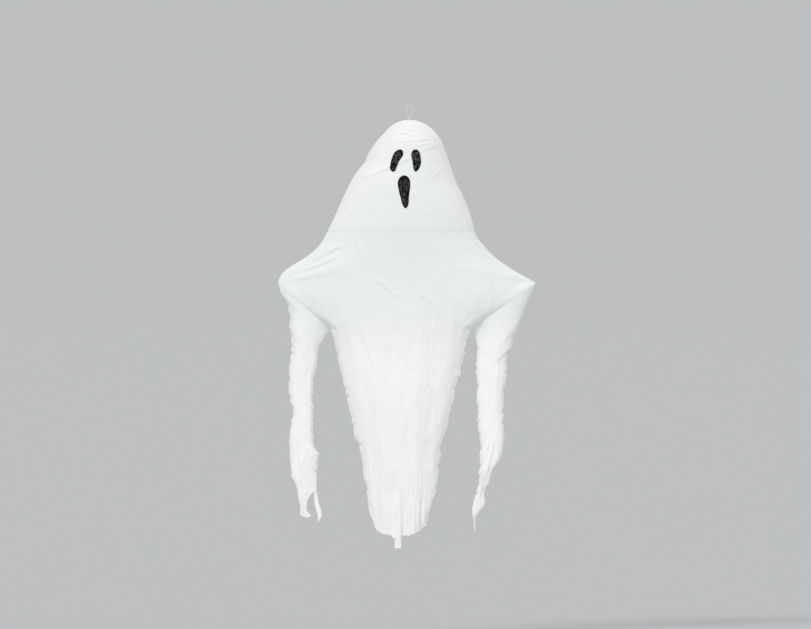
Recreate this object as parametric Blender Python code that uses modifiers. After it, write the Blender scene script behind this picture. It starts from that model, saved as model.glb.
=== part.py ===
"""A giant hanging fabric ghost: a sewn cloth cover over a foam ball and a bent shoulder wire.

Metres, +Z up. The origin is where a hook bears inside the top of the hanging loop, and the Z axis
runs down through the middle of the ball. The face looks along -Y. "Left" and "right" are the
viewer's, and "drop" is the distance below the crown of the hood.
"""

import math

import bmesh
import bpy
import numpy as np
from mathutils import Vector
from mathutils.bvhtree import BVHTree

# Overall heights, measured down from the crown of the hood
LOOP_RISE = 0.070  # crown to the place where the hook bears
HOOD_EDGE_DROP = 0.545  # lower edge of the hood, over the chest
SHOULDER_DROP = 0.800  # the two pointed shoulder corners
ARMPIT_DROP = 1.024  # where the sleeves part from the body
HEM_SIDE_DROP = 1.930  # hem at the side seams
HEM_DIP = 0.118  # how much lower the hem hangs in the middle

# Cloth and clearances
CLOTH = 0.0010  # thickness of the cloth as a solid
SEAT_GAP = 0.0003  # between pieces that touch
SEAM_GAP = 0.0009  # between the edges of sleeve and body at the armhole seam
ARMPIT_GAP = 0.0030  # the same in the armpit, where both are creased
LAP = 0.030  # how far the hood laps over the body
LAP_EASE = CLOTH + SEAT_GAP * 2  # how far the hood stands outside the body

# Foam ball, bent wire and cords
BALL_RADIUS = 0.145
DOME_EASE = 0.0012  # slack of the hood round the ball
WIRE_RADIUS = 0.0020
WIRE_INSET = 0.018  # from the shoulder ridge in to the wire
WIRE_CURL_RADIUS = 0.008  # the blunt curl at each end of the wire
CORD_RADIUS = 0.0020
LOOP_HALF_WIDTH = 0.014
HITCH_TURNS = 2  # turns that each end of the cord takes round the wire
HITCH_STEPS = 10  # points in each turn
HITCH_PITCH = CORD_RADIUS * 2 + SEAT_GAP * 3
CROWN_HOLE_RADIUS = 0.0090

# How far the hood stands out beside the ball: (share of the way down to its lower edge, distance)
HOOD_FLARE_LEFT = (
    (0.0, 0.0), (0.105, 0.0), (0.178, 0.015), (0.250, 0.036), (0.312, 0.057), (0.371, 0.068),
    (0.429, 0.094), (0.556, 0.140), (0.717, 0.182), (0.879, 0.221), (1.0, 0.254),
)
HOOD_FLARE_RIGHT = (
    (0.0, 0.0), (0.105, 0.006), (0.178, 0.014), (0.250, 0.022), (0.312, 0.034), (0.446, 0.059),
    (0.556, 0.080), (0.717, 0.123), (0.879, 0.155), (1.0, 0.172),
)
# Shoulder ridges, from the hood's edge to the corners: (share of the drop, share of the reach)
CORNER_LEFT = 0.645
CORNER_RIGHT = 0.621
RIDGE_LEFT = ((0.0, 0.0), (0.26, 0.16), (0.49, 0.42), (0.72, 0.80), (0.86, 0.95), (1.0, 1.0))
RIDGE_RIGHT = ((0.0, 0.0), (0.15, 0.06), (0.26, 0.14), (0.49, 0.32), (0.72, 0.59), (1.0, 1.0))
# Side seams of the body: (share of the way from armpit to hem, distance from the axis)
ARMPIT_LEFT = 0.388
ARMPIT_RIGHT = 0.300
SIDE_LEFT = ((0.16, 0.351), (0.32, 0.321), (0.52, 0.277), (0.72, 0.233), (0.85, 0.216), (1.0, 0.188))
SIDE_RIGHT = ((0.16, 0.262), (0.32, 0.228), (0.52, 0.186), (0.72, 0.147), (0.87, 0.128), (1.0, 0.086))
# Half the depth of the hood and body, front to back: (drop, half depth)
BODY_DEPTH = (
    (0.300, 0.150), (0.420, 0.146), (0.545, 0.136), (0.700, 0.126), (0.800, 0.122), (1.024, 0.128),
    (1.300, 0.128), (1.600, 0.110), (1.800, 0.092), (1.930, 0.080), (2.060, 0.066),
)
# How far the sections pinch in towards the side edges: 0 is an ellipse
PINCH = (
    (0.0, 0.0), (0.300, 0.0), (0.545, 0.35), (0.740, 0.65), (0.800, 0.65), (1.024, 0.15),
    (1.200, 0.0), (2.100, 0.0),
)

# Folds of the cloth: how far they stand out, or in
GATHER_HEIGHT = 0.0075
PULL_HEIGHT = 0.010  # the folds that a shoulder corner pulls
VALLEY_LEFT = 0.014  # beside the armhole seams
VALLEY_RIGHT = 0.009
FACE_FOLD_HEIGHT = 0.006
FACE_FOLD_DROP = 0.225
SWAG_HEIGHT = 0.008
SWAG_SAG = 0.085
RAG_LENGTH = 0.007  # of the torn hem
SLEEVE_FOLD = 0.0045

# Edges of each sleeve: (share of the way from corner or armpit to wrist, distance from the axis)
LEFT_WRIST_DROP = 1.821  # the notch between the two torn fingers
LEFT_OUTER = (
    (0.047, 0.631), (0.083, 0.606), (0.133, 0.592), (0.206, 0.588), (0.277, 0.577), (0.392, 0.589),
    (0.479, 0.596), (0.565, 0.586), (0.623, 0.573), (0.744, 0.587), (0.881, 0.585), (0.911, 0.583),
    (0.970, 0.558), (1.0, 0.549),
)
LEFT_INNER = (
    (0.055, 0.420), (0.142, 0.449), (0.246, 0.458), (0.375, 0.474), (0.591, 0.471), (0.696, 0.472),
    (0.739, 0.459), (0.788, 0.444), (0.881, 0.454), (1.0, 0.457),
)
RIGHT_WRIST_DROP = 1.942
RIGHT_OUTER = (
    (0.042, 0.598), (0.119, 0.562), (0.171, 0.543), (0.222, 0.513), (0.274, 0.498), (0.299, 0.479),
    (0.350, 0.480), (0.438, 0.472), (0.543, 0.462), (0.635, 0.465), (0.718, 0.456), (0.766, 0.438),
    (0.803, 0.409), (0.858, 0.391), (0.891, 0.374), (0.953, 0.368), (0.975, 0.350), (1.0, 0.330),
)
RIGHT_INNER = (
    (0.033, 0.322), (0.083, 0.330), (0.301, 0.330), (0.513, 0.336), (0.651, 0.347), (0.767, 0.342),
    (0.834, 0.336), (0.893, 0.323), (0.976, 0.307), (1.0, 0.309),
)
# Half the depth of a sleeve below its seam: (share of its length, half depth)
SLEEVE_DEPTH = (
    (0.0, 0.052), (0.20, 0.048), (0.55, 0.040), (0.75, 0.036), (0.90, 0.022), (1.0, 0.012),
)

# Torn ends of the sleeves, below the wrists: length, and how far each side leans inwards
BROAD_FINGER = 0.134
BROAD_FINGER_LEAN = (0.015, 0.003)
THIN_FINGER = 0.177
THIN_FINGER_LEAN = (0.004, -0.007)
THIN_FINGER_BEND = 0.026
RIGHT_TAIL = 0.072
TAIL_HALF_WIDTH = 0.0045
TAIL_HALF_DEPTH = 0.0035

# Face patches: centre (x, drop), length, widths at the top and bottom, lean to the right in degrees
PATCH = 0.0008  # thickness
PATCH_GAP = 0.0012  # over the coarse folds of the hood
LEFT_EYE = ((-0.0640, 0.200), 0.113, 0.050, 0.036, 16.0)
RIGHT_EYE = ((0.0310, 0.199), 0.110, 0.046, 0.036, -2.0)
MOUTH = ((-0.0235, 0.352), 0.160, 0.062, 0.030, -3.0)

# Bare label sewn inside the front hem
LABEL_DROP = 2.100
LABEL_SEWN = 0.016
LABEL_GAP = 0.0008
LABEL = 0.0008

# Mesh density
COLUMNS = 20  # across each of the front and the back
ARMHOLE_ROWS = 6
SLEEVE_COLUMNS = 2 * ARMHOLE_ROWS
SLEEVE_ROWS = 14
TORN_ROWS = 4
BROAD_FINGER_COLUMNS = 3  # from the outer edge, the rest makes the thin finger
LABEL_COLUMNS = (COLUMNS / 2 - 1, COLUMNS / 2, COLUMNS / 2 + 0.4)  # across the label
PATCH_COLUMNS = 5
PATCH_ROWS = 8
BALL_RINGS = 12
BALL_STEPS = 20
WIRE_STEPS = 11

CROWN_Z = -LOOP_RISE
DOME_RADIUS = BALL_RADIUS + CLOTH / 2 + DOME_EASE
BALL_DROP = CLOTH / 2 + SEAT_GAP + BALL_RADIUS  # centre of the ball
HITCH_RADIUS = WIRE_RADIUS + SEAT_GAP * 2 + CORD_RADIUS  # of the cord's turns round the wire
WIRE_DROP = BALL_DROP + BALL_RADIUS + SEAT_GAP + CORD_RADIUS + HITCH_RADIUS
BALL_BORE_RADIUS = HITCH_RADIUS + CORD_RADIUS + SEAT_GAP * 2


def smooth(points, at):
    """A curve through (place, value) points that never overshoots them (monotone cubic)."""
    x = np.array([p[0] for p in points], float)
    y = np.array([p[1] for p in points], float)
    at = min(max(at, x[0]), x[-1])
    step, slope = np.diff(x), np.diff(y) / np.diff(x)
    tangent = np.zeros(len(x))
    tangent[0], tangent[-1] = slope[0], slope[-1]
    for i in range(1, len(x) - 1):
        if slope[i - 1] * slope[i] > 0:
            a, b = 2 * step[i] + step[i - 1], step[i] + 2 * step[i - 1]
            tangent[i] = (a + b) / (a / slope[i - 1] + b / slope[i])
    i = min(int(np.searchsorted(x, at, side="right")) - 1, len(x) - 2)
    t, h = (at - x[i]) / step[i], step[i]
    return float(
        y[i] * (1 + 2 * t) * (1 - t) ** 2 + tangent[i] * h * t * (1 - t) ** 2
        + y[i + 1] * t * t * (3 - 2 * t) + tangent[i + 1] * h * t * t * (t - 1)
    )


def ease(low, high, at):
    """0 below low, 1 above high, and a smooth step between."""
    t = min(max((at - low) / (high - low), 0.0), 1.0)
    return t * t * (3 - 2 * t)


def dome_half(drop):
    """Half width of the dome of cloth over the ball."""
    d = min(max(drop, 0.0), DOME_RADIUS)
    return math.sqrt(2 * DOME_RADIUS * d - d * d)


def side_reach(drop, left):
    """Distance from the axis to the cloth's edge on one side."""
    flare = HOOD_FLARE_LEFT if left else HOOD_FLARE_RIGHT
    corner = CORNER_LEFT if left else CORNER_RIGHT
    armpit = ARMPIT_LEFT if left else ARMPIT_RIGHT
    if drop <= HOOD_EDGE_DROP:
        return dome_half(drop) + smooth(flare, drop / HOOD_EDGE_DROP)
    if drop <= SHOULDER_DROP:
        ridge = RIDGE_LEFT if left else RIDGE_RIGHT
        neck = DOME_RADIUS + flare[-1][1]
        share = (drop - HOOD_EDGE_DROP) / (SHOULDER_DROP - HOOD_EDGE_DROP)
        return neck + (corner - neck) * smooth(ridge, share)
    if drop <= ARMPIT_DROP:
        share = (drop - SHOULDER_DROP) / (ARMPIT_DROP - SHOULDER_DROP)
        return corner + (armpit - corner) * share
    seam = SIDE_LEFT if left else SIDE_RIGHT
    share = (drop - ARMPIT_DROP) / (HEM_SIDE_DROP - ARMPIT_DROP)
    return smooth(((0.0, armpit), *seam), share)


def drape_reach(level, left):
    """Where front and back would meet: at the side edge, but beyond it beside the armhole."""
    corner = CORNER_LEFT if left else CORNER_RIGHT
    reach = side_reach(level, left)
    if level <= SHOULDER_DROP or level >= ARMPIT_DROP:
        return reach
    return reach + (corner - reach) * (1 - ease(SHOULDER_DROP, ARMPIT_DROP, level))


def depth_half(drop):
    """Half depth of the cloth in the middle of its width."""
    if drop < DOME_RADIUS:
        return dome_half(drop)
    return smooth(((DOME_RADIUS, DOME_RADIUS), *BODY_DEPTH), drop)


def gathers(across, drop, side):
    """Lengthwise folds that run down the body and draw together with it."""
    swell = GATHER_HEIGHT * ease(ARMPIT_DROP - 0.16, ARMPIT_DROP + 0.23, drop)
    swell *= 1 + 0.5 * ease(HEM_SIDE_DROP - 0.33, HEM_SIDE_DROP + 0.07, drop)
    turn = 0.9 if side < 0 else 2.3
    return swell * (
        math.sin(11.0 * across + turn) + 0.55 * math.sin(19.0 * across + 2 * turn + 2.0 * drop)
    )


def shoulder_pulls(x, drop, left):
    """Folds that fan out from a shoulder corner over the chest."""
    corner_x = -CORNER_LEFT if left else CORNER_RIGHT
    away = abs(x - corner_x)
    angle = math.degrees(math.atan2(SHOULDER_DROP - drop, max(away, 1e-6)))
    fade = ease(0.03, 0.12, away) * (1 - ease(0.22, 0.42, away))
    fade *= 1 - ease(SHOULDER_DROP, SHOULDER_DROP + 0.12, drop)
    folds = math.exp(-(((angle - 14) / 6) ** 2)) + 0.8 * math.exp(-(((angle - 33) / 5) ** 2))
    return PULL_HEIGHT * fade * folds


def seam_valley(x, drop, left):
    """The hollow in the body along the armhole seam, where the weight of the sleeve pulls."""
    beside = side_reach(drop, left) - abs(x)
    along = ease(SHOULDER_DROP - 0.02, SHOULDER_DROP + 0.06, drop)
    along *= 1 - ease(ARMPIT_DROP - 0.02, ARMPIT_DROP + 0.12, drop)
    deep = VALLEY_LEFT if left else VALLEY_RIGHT
    return deep * along * ease(0.0, 0.035, beside) * (1 - ease(0.04, 0.12, beside))


def face_fold(x, drop):
    """The long slanting fold across the face."""
    line = FACE_FOLD_DROP - 0.42 * (x + 0.10)
    fade = ease(-0.26, -0.20, x) * (1 - ease(0.10, 0.15, x))
    rise = ease(line - 0.045, line - 0.004, drop) * (1 - ease(line, line + 0.014, drop))
    return FACE_FOLD_HEIGHT * fade * rise


def chest_swag(x, drop):
    """The low fold that sags across the chest under the smooth cloth."""
    line = SHOULDER_DROP + SWAG_SAG * (1 - ((x + 0.02) / 0.17) ** 2)
    fade = 1 - ease(0.11, 0.19, abs(x + 0.02))
    rise = ease(line - 0.10, line - 0.004, drop) * (1 - ease(line, line + 0.030, drop))
    return SWAG_HEIGHT * fade * rise


def cloth_depth(side, x, drop, level, ease_out=0.0):
    """Y of the cloth's middle surface. side is -1 in front and 1 behind, level the row's drop."""
    left, right = -drape_reach(level, True) - ease_out, drape_reach(level, False) + ease_out
    across = min(max((2 * x - left - right) / (right - left), -1.0), 1.0)
    round_off = math.sqrt(1 - across * across)
    bulge = (depth_half(drop) + ease_out) * round_off ** (1 + smooth(PINCH, drop))
    folds = gathers(across, drop, side)
    folds += shoulder_pulls(x, drop, True) + shoulder_pulls(x, drop, False)
    folds -= seam_valley(x, drop, True) + seam_valley(x, drop, False)
    if side < 0:
        folds += face_fold(x, drop) + chest_swag(x, drop)
    return side * (bulge + folds * min(1.0, 2.2 * round_off))


def cloth_point(side, column, level, ease_out=0.0):
    """A point of the hood or body, from its column (0 at the left) and the drop of its row."""
    turn = math.pi * (column / COLUMNS - 0.5)
    left, right = -side_reach(level, True) - ease_out, side_reach(level, False) + ease_out
    x = (left + right) / 2 + (right - left) / 2 * math.sin(turn)
    dip = HEM_DIP * ease(HEM_SIDE_DROP - 0.31, HEM_SIDE_DROP, level) * max(math.cos(turn), 0.0) ** 0.8
    drop = level + dip
    return Vector((x, cloth_depth(side, x, drop, level, ease_out), CROWN_Z - drop))


def ragged(column, side):
    """How far the torn hem hangs below its own curve at a column."""
    wave = math.sin(2.4 * column + side) + 0.8 * math.sin(5.1 * column + 2 * side)
    return RAG_LENGTH * wave * (1 - abs(2 * column / COLUMNS - 1) ** 6)


def paint(obj, name, colour, roughness, metallic=0.0):
    material = bpy.data.materials.new(name)
    material.use_nodes = True
    shader = material.node_tree.nodes["Principled BSDF"]
    shader.inputs["Base Color"].default_value = (*colour, 1.0)
    shader.inputs["Roughness"].default_value = roughness
    shader.inputs["Metallic"].default_value = metallic
    obj.data.materials.append(material)


def finish(name, bm, parts, smooth_angle=40.0):
    """Makes a named object of a bmesh, shaded smooth below the given angle."""
    mesh = bpy.data.meshes.new(name)
    bm.to_mesh(mesh)
    bm.free()
    mesh.shade_smooth()
    mesh.set_sharp_from_angle(angle=math.radians(smooth_angle))
    obj = bpy.data.objects.new(name, mesh)
    parts.objects.link(obj)
    return obj


def thicken(obj, thickness):
    """Gives an open sheet its thickness, half to each side."""
    shell = obj.modifiers.new("thickness", "SOLIDIFY")
    shell.thickness = thickness
    shell.offset = 0.0
    shell.use_even_offset = True


def lay_grid(bm, across, along, place):
    """Adds a grid of cloth and lays each of its points by place(column, row)."""
    made = bmesh.ops.create_grid(bm, x_segments=across, y_segments=along, size=1.0)
    for vert in made["verts"]:
        column = round((vert.co.x + 1) / 2 * across)
        row = round((vert.co.y + 1) / 2 * along)
        vert.co = place(column, row)


def sew(bm):
    """Joins the edges that lie on each other, as a seam does."""
    bmesh.ops.remove_doubles(bm, verts=bm.verts, dist=1e-5)
    bmesh.ops.recalc_face_normals(bm, faces=bm.faces)


def make_hood(parts):
    """Front and back of the hood, sewn at the sides, with a hole for the cord at the crown."""
    hole = DOME_RADIUS - math.sqrt(DOME_RADIUS**2 - CROWN_HOLE_RADIUS**2)
    dome = [DOME_RADIUS * (1 - math.cos(math.radians(a))) for a in (11, 22, 34, 46, 58, 70, 82)]
    flank = np.linspace(0.165, HOOD_EDGE_DROP - LAP, 10)
    levels = [hole, *dome, *flank, HOOD_EDGE_DROP]
    bm = bmesh.new()
    for side in (-1, 1):
        lay_grid(
            bm, COLUMNS, len(levels) - 1,
            lambda column, row, side=side: cloth_point(side, column, levels[row], LAP_EASE),
        )
    sew(bm)
    hood = finish("hood", bm, parts)
    thicken(hood, CLOTH)
    return hood


def body_levels():
    """Drops of the rows of the body at its side edges, from the lap to the hem."""
    chest = np.linspace(HOOD_EDGE_DROP, SHOULDER_DROP, 7)
    armhole = [
        SHOULDER_DROP + (ARMPIT_DROP - SHOULDER_DROP) * (1 - math.cos(math.pi * k / ARMHOLE_ROWS)) / 2
        for k in range(1, ARMHOLE_ROWS)
    ]
    skirt = np.linspace(ARMPIT_DROP, HEM_SIDE_DROP, 12)
    return [HOOD_EDGE_DROP - LAP, *chest, *armhole, *skirt]


def body_point(side, column, row):
    levels = body_levels()
    point = cloth_point(side, column, levels[row])
    if row == len(levels) - 1:
        point.z -= ragged(column, side)
    return point


def make_body(parts):
    """Front and back of the body, sewn along the shoulders and below the armholes."""
    bm = bmesh.new()
    for side in (-1, 1):
        lay_grid(
            bm, COLUMNS, len(body_levels()) - 1,
            lambda column, row, side=side: body_point(side, column, row),
        )
    sew(bm)
    body = finish("body", bm, parts)
    thicken(body, CLOTH)
    return body


def sleeve_ring(share, left, wrist_drop):
    """The outer and inner edge points (x, drop) of the sleeve at a share of its length."""
    sign = -1 if left else 1
    outer = LEFT_OUTER if left else RIGHT_OUTER
    inner = LEFT_INNER if left else RIGHT_INNER
    corner = CORNER_LEFT if left else CORNER_RIGHT
    armpit = ARMPIT_LEFT if left else ARMPIT_RIGHT
    outer_drop = SHOULDER_DROP + (wrist_drop - SHOULDER_DROP) * share
    inner_drop = ARMPIT_DROP + (wrist_drop - ARMPIT_DROP) * share
    outer_x = smooth(((0.0, corner), *outer), share)
    inner_x = smooth(((0.0, armpit), *inner), share)
    return Vector((sign * outer_x, 0, outer_drop)), Vector((sign * inner_x, 0, inner_drop))


def sleeve_point(around, share, left, wrist_drop):
    """A point of a sleeve: around is 0 at its outer edge, and the front comes before the back."""
    out, inn = sleeve_ring(share, left, wrist_drop)
    turn = 2 * math.pi * around
    point = (out + inn) / 2 + (out - inn) / 2 * math.cos(turn)
    depth = -smooth(SLEEVE_DEPTH, share) * math.sin(turn)
    fold = SLEEVE_FOLD * ease(0.0, 0.2, share) * (1 - ease(0.8, 1.0, share))
    depth += fold * math.sin(3 * turn + 5 * share) * math.sin(turn) ** 2
    seam = 1 - ease(0.0, 0.18, share)
    if seam > 0:
        side = -1 if math.sin(turn) > 0 else 1
        seam_out, seam_in = sleeve_ring(0.0, left, wrist_drop)
        edge = (seam_out + seam_in) / 2 + (seam_out - seam_in) / 2 * math.cos(turn)
        at_seam = 0.0 if abs(math.sin(turn)) < 1e-6 else cloth_depth(side, edge.x, edge.z, edge.z)
        depth = depth * (1 - seam) + at_seam * seam
        inward = (1 - math.cos(turn)) / 2
        gap = SEAM_GAP + (ARMPIT_GAP - SEAM_GAP) * inward**4
        point += seam_away(left, wrist_drop) * gap * seam
    return Vector((point.x, depth, CROWN_Z - point.z))


def seam_away(left, wrist_drop):
    """The direction from the body's edge to the sleeve's, square to the armhole seam."""
    out, inn = sleeve_ring(0.0, left, wrist_drop)
    along = (inn - out).normalized()
    sign = -1 if left else 1
    return Vector((sign * along.z, 0, -sign * along.x))


def sleeve_grid(left, wrist_drop, torn_end):
    """A sleeve from the armhole seam to its torn end, which torn_end(column, step) lays."""
    def place(column, row):
        if row <= SLEEVE_ROWS:
            return sleeve_point(column / SLEEVE_COLUMNS, row / SLEEVE_ROWS, left, wrist_drop)
        return torn_end(column % SLEEVE_COLUMNS, (row - SLEEVE_ROWS) / TORN_ROWS)

    bm = bmesh.new()
    lay_grid(bm, SLEEVE_COLUMNS, SLEEVE_ROWS + TORN_ROWS, place)
    return bm


def make_left_sleeve(parts):
    """The left sleeve, torn into a broad and a thin finger with a notch between them."""
    wrist = [
        sleeve_point(column / SLEEVE_COLUMNS, 1.0, True, LEFT_WRIST_DROP)
        for column in range(SLEEVE_COLUMNS)
    ]
    notch_x = (wrist[BROAD_FINGER_COLUMNS].x + wrist[BROAD_FINGER_COLUMNS + 1].x) / 2

    def torn_end(column, step):
        start = wrist[column]
        from_outer = min(column, SLEEVE_COLUMNS - column)
        if from_outer <= BROAD_FINGER_COLUMNS:
            first, last = 0, BROAD_FINGER_COLUMNS
            share = from_outer / BROAD_FINGER_COLUMNS
            length = BROAD_FINGER - 0.014 * (1 - share) ** 2
            lean, bend = BROAD_FINGER_LEAN, 0.0
        else:
            first, last = BROAD_FINGER_COLUMNS + 1, ARMHOLE_ROWS
            share = (from_outer - first) / (last - first)
            length = THIN_FINGER - 0.020 * share
            lean, bend = THIN_FINGER_LEAN, THIN_FINGER_BEND * math.sin(math.pi * step)
        tip_x = (wrist[first].x + lean[0]) * (1 - share) + (wrist[last].x + lean[1]) * share
        tip = Vector((tip_x, start.y * 0.55, CROWN_Z - LEFT_WRIST_DROP - length))
        return start.lerp(tip, step) + Vector((bend, 0, 0))

    bm = sleeve_grid(True, LEFT_WRIST_DROP, torn_end)
    notch = [face for face in bm.faces if spans_notch(face, notch_x)]
    bmesh.ops.delete(bm, geom=notch, context="FACES")
    sew(bm)
    sleeve = finish("left_sleeve", bm, parts)
    thicken(sleeve, CLOTH)
    return sleeve


def spans_notch(face, notch_x):
    """True for a face below the wrist that would bridge the two fingers."""
    below = CROWN_Z - face.calc_center_median().z > LEFT_WRIST_DROP
    xs = [vert.co.x for vert in face.verts]
    return below and min(xs) < notch_x < max(xs)


def make_right_sleeve(parts):
    """The right sleeve, twisted together into a thin tail."""
    wrist = [
        sleeve_point(column / SLEEVE_COLUMNS, 1.0, False, RIGHT_WRIST_DROP)
        for column in range(SLEEVE_COLUMNS)
    ]

    out, inn = sleeve_ring(1.0, False, RIGHT_WRIST_DROP)
    tail_x = (out.x + inn.x) / 2

    def torn_end(column, step):
        start = wrist[column]
        turn = 2 * math.pi * column / SLEEVE_COLUMNS
        x, y = tail_x + TAIL_HALF_WIDTH * math.cos(turn), -TAIL_HALF_DEPTH * math.sin(turn)
        z = start.z - RIGHT_TAIL * step
        return start.lerp(Vector((x, y, 0)), ease(0.0, 0.5, step)) * Vector((1, 1, 0)) + Vector((0, 0, z))

    bm = sleeve_grid(False, RIGHT_WRIST_DROP, torn_end)
    sew(bm)
    sleeve = finish("right_sleeve", bm, parts)
    thicken(sleeve, CLOTH)
    return sleeve


def surface_of(obj):
    """The outside of a finished piece, to lay other pieces on."""
    bpy.context.view_layer.update()
    return BVHTree.FromObject(obj, bpy.context.evaluated_depsgraph_get())


def on_front(surface, x, drop, lift):
    """A point that far in front of a piece, square to it."""
    start = Vector((x, -1, CROWN_Z - drop))
    place, normal, _, _ = surface.ray_cast(start, Vector((0, 1, 0)))
    return place + normal * lift


def make_patch(parts, name, surface, centre, length, top_width, bottom_width, lean):
    """An egg-shaped patch that lies on the front of the hood."""
    lean = math.radians(lean)

    def place(column, row):
        u, v = 2 * column / PATCH_COLUMNS - 1, 2 * row / PATCH_ROWS - 1
        across, along = u * math.sqrt(1 - v * v / 2), v * math.sqrt(1 - u * u / 2)
        width = bottom_width + (top_width - bottom_width) * (1 - along) / 2
        flat = Vector((across * width / 2, along * length / 2))
        x = centre[0] + flat.x * math.cos(lean) - flat.y * math.sin(lean)
        drop = centre[1] + flat.x * math.sin(lean) + flat.y * math.cos(lean)
        return on_front(surface, x, drop, PATCH_GAP + PATCH / 2)

    bm = bmesh.new()
    lay_grid(bm, PATCH_COLUMNS, PATCH_ROWS, place)
    bmesh.ops.recalc_face_normals(bm, faces=bm.faces)
    patch = finish(name, bm, parts)
    thicken(patch, PATCH)
    return patch


def make_ball(parts):
    """The foam ball in the head, turned about the axis, with a bore for the cord."""
    start = math.asin(BALL_BORE_RADIUS / BALL_RADIUS)
    angles = np.linspace(start, math.pi - start, BALL_RINGS)
    bm = bmesh.new()
    outline = [
        bm.verts.new((BALL_RADIUS * math.sin(a), 0, BALL_RADIUS * math.cos(a))) for a in angles
    ]
    for one, two in zip(outline, outline[1:] + outline[:1]):
        bm.edges.new((one, two))
    ball = finish("head_ball", bm, parts)
    ball.location.z = CROWN_Z - BALL_DROP
    turn = ball.modifiers.new("turn", "SCREW")
    turn.steps = turn.render_steps = BALL_STEPS
    turn.use_merge_vertices = True
    turn.merge_threshold = 1e-5
    return ball


def wire_half(left):
    """Points (x, drop) of the wire from its middle to the curl at one shoulder corner."""
    sign = -1 if left else 1
    slope = SHOULDER_DROP - HOOD_EDGE_DROP
    drops = [HOOD_EDGE_DROP + slope * share for share in (0.26, 0.45, 0.65, 0.80, 0.92)]
    ridge = [(side_reach(drop, left) - WIRE_INSET, drop) for drop in drops]
    flat = HITCH_PITCH * (HITCH_TURNS + 1)
    points = [(0.0, WIRE_DROP), (flat, WIRE_DROP), (0.050, WIRE_DROP + 0.012)]
    points += [(0.150, WIRE_DROP + 0.099), *ridge]
    reach = [0.0, flat, flat * 2, *np.linspace(flat * 3, ridge[-1][0], WIRE_STEPS)]
    half = [(sign * x, smooth(points, x)) for x in reach]
    tip_x, tip_drop = half[-1]
    first = math.radians(60)
    for angle in (95, 130, 165, 200):
        turn = math.radians(angle)
        half.append((
            tip_x + sign * WIRE_CURL_RADIUS * (math.sin(turn) - math.sin(first)),
            tip_drop + WIRE_CURL_RADIUS * (math.cos(first) - math.cos(turn)),
        ))
    return half


def make_wire(parts):
    """The shoulder wire: one bent wire from corner to corner, under the ball."""
    left, right = wire_half(True), wire_half(False)
    route = [Vector((x, 0, CROWN_Z - drop)) for x, drop in [*reversed(left), *right[1:]]]
    return make_cord(parts, "shoulder_wire", route, WIRE_RADIUS)


def make_cord(parts, name, route, radius):
    """A round cord or wire along a route of points."""
    curve = bpy.data.curves.new(name, "CURVE")
    curve.dimensions = "3D"
    curve.bevel_depth = radius
    curve.bevel_resolution = 2
    curve.use_fill_caps = True
    spline = curve.splines.new("POLY")
    spline.points.add(len(route) - 1)
    for point, place in zip(spline.points, route):
        point.co = (*place, 1)
    obj = bpy.data.objects.new(name, curve)
    parts.objects.link(obj)
    return obj


def through(points, steps):
    """A smooth route through hand-set points, with that many steps between each two."""
    route = []
    padded = [points[0], *points, points[-1]]
    for a, b, c, d in zip(padded, padded[1:], padded[2:], padded[3:]):
        for k in range(steps):
            t = k / steps
            route.append(
                b * 2 + (c - a) * t + (a * 2 - b * 5 + c * 4 - d) * t * t
                + (b * 3 - a - c * 3 + d) * t**3
            )
    return [point / 2 for point in route] + [points[-1]]


def hitch(sign):
    """One end of the cord: it comes down beside the wire and turns round it."""
    places = []
    for k in range(HITCH_TURNS * HITCH_STEPS, -1, -1):
        turn = 2 * math.pi * k / HITCH_STEPS
        x = sign * HITCH_PITCH * (0.3 + k / HITCH_STEPS)
        y, rise = sign * HITCH_RADIUS * math.cos(turn), -HITCH_RADIUS * math.sin(turn)
        places.append(Vector((x, y, CROWN_Z - WIRE_DROP + rise)))
    return places


def make_hanging_loop(parts):
    """The cord: hitched to the wire, up through the ball and the crown, and round to a loop."""
    left = hitch(-1)
    foot = left[-1]
    rise = [
        Vector((foot.x, foot.y, CROWN_Z - 0.010)),
        Vector((-LOOP_HALF_WIDTH * 0.28, -LOOP_HALF_WIDTH * 0.22, CROWN_Z + LOOP_RISE * 0.17)),
        Vector((-LOOP_HALF_WIDTH * 0.75, -LOOP_HALF_WIDTH * 0.07, CROWN_Z + LOOP_RISE * 0.46)),
        Vector((-LOOP_HALF_WIDTH, 0, CROWN_Z + LOOP_RISE * 0.74)),
        Vector((-LOOP_HALF_WIDTH * 0.62, 0, CROWN_Z + LOOP_RISE * 0.96)),
        Vector((0, 0, CORD_RADIUS)),
    ]
    fall = [Vector((-point.x, -point.y, point.z)) for point in reversed(rise[:-1])]
    right = [Vector((-point.x, -point.y, point.z)) for point in reversed(left)]
    return make_cord(parts, "hanging_loop", [*left, *through([*rise, *fall], 2), *right], CORD_RADIUS)


def on_hem(column, rise):
    """A point of the front of the body, that far up from the hem's edge."""
    first, last = int(column), len(body_levels()) - 1
    share = column - first
    edge = body_point(-1, first, last).lerp(body_point(-1, first + 1, last), share)
    above = body_point(-1, first, last - 1).lerp(body_point(-1, first + 1, last - 1), share)
    return edge.lerp(above, rise / (edge - above).length)


def make_label(parts):
    """The bare label, sewn inside the front hem, so that it hangs below the hem."""
    def place(column, row):
        point = on_hem(LABEL_COLUMNS[column], LABEL_SEWN * (1 - row))
        if row == 2:
            point = on_hem(LABEL_COLUMNS[column], 0)
            point.z = CROWN_Z - LABEL_DROP
        return point + Vector((0, CLOTH / 2 + LABEL_GAP + LABEL / 2, 0))

    bm = bmesh.new()
    lay_grid(bm, 2, 2, place)
    bmesh.ops.recalc_face_normals(bm, faces=bm.faces)
    label = finish("label", bm, parts)
    thicken(label, LABEL)
    return label


def clear_scene():
    for obj in list(bpy.data.objects):
        bpy.data.objects.remove(obj, do_unlink=True)


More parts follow.
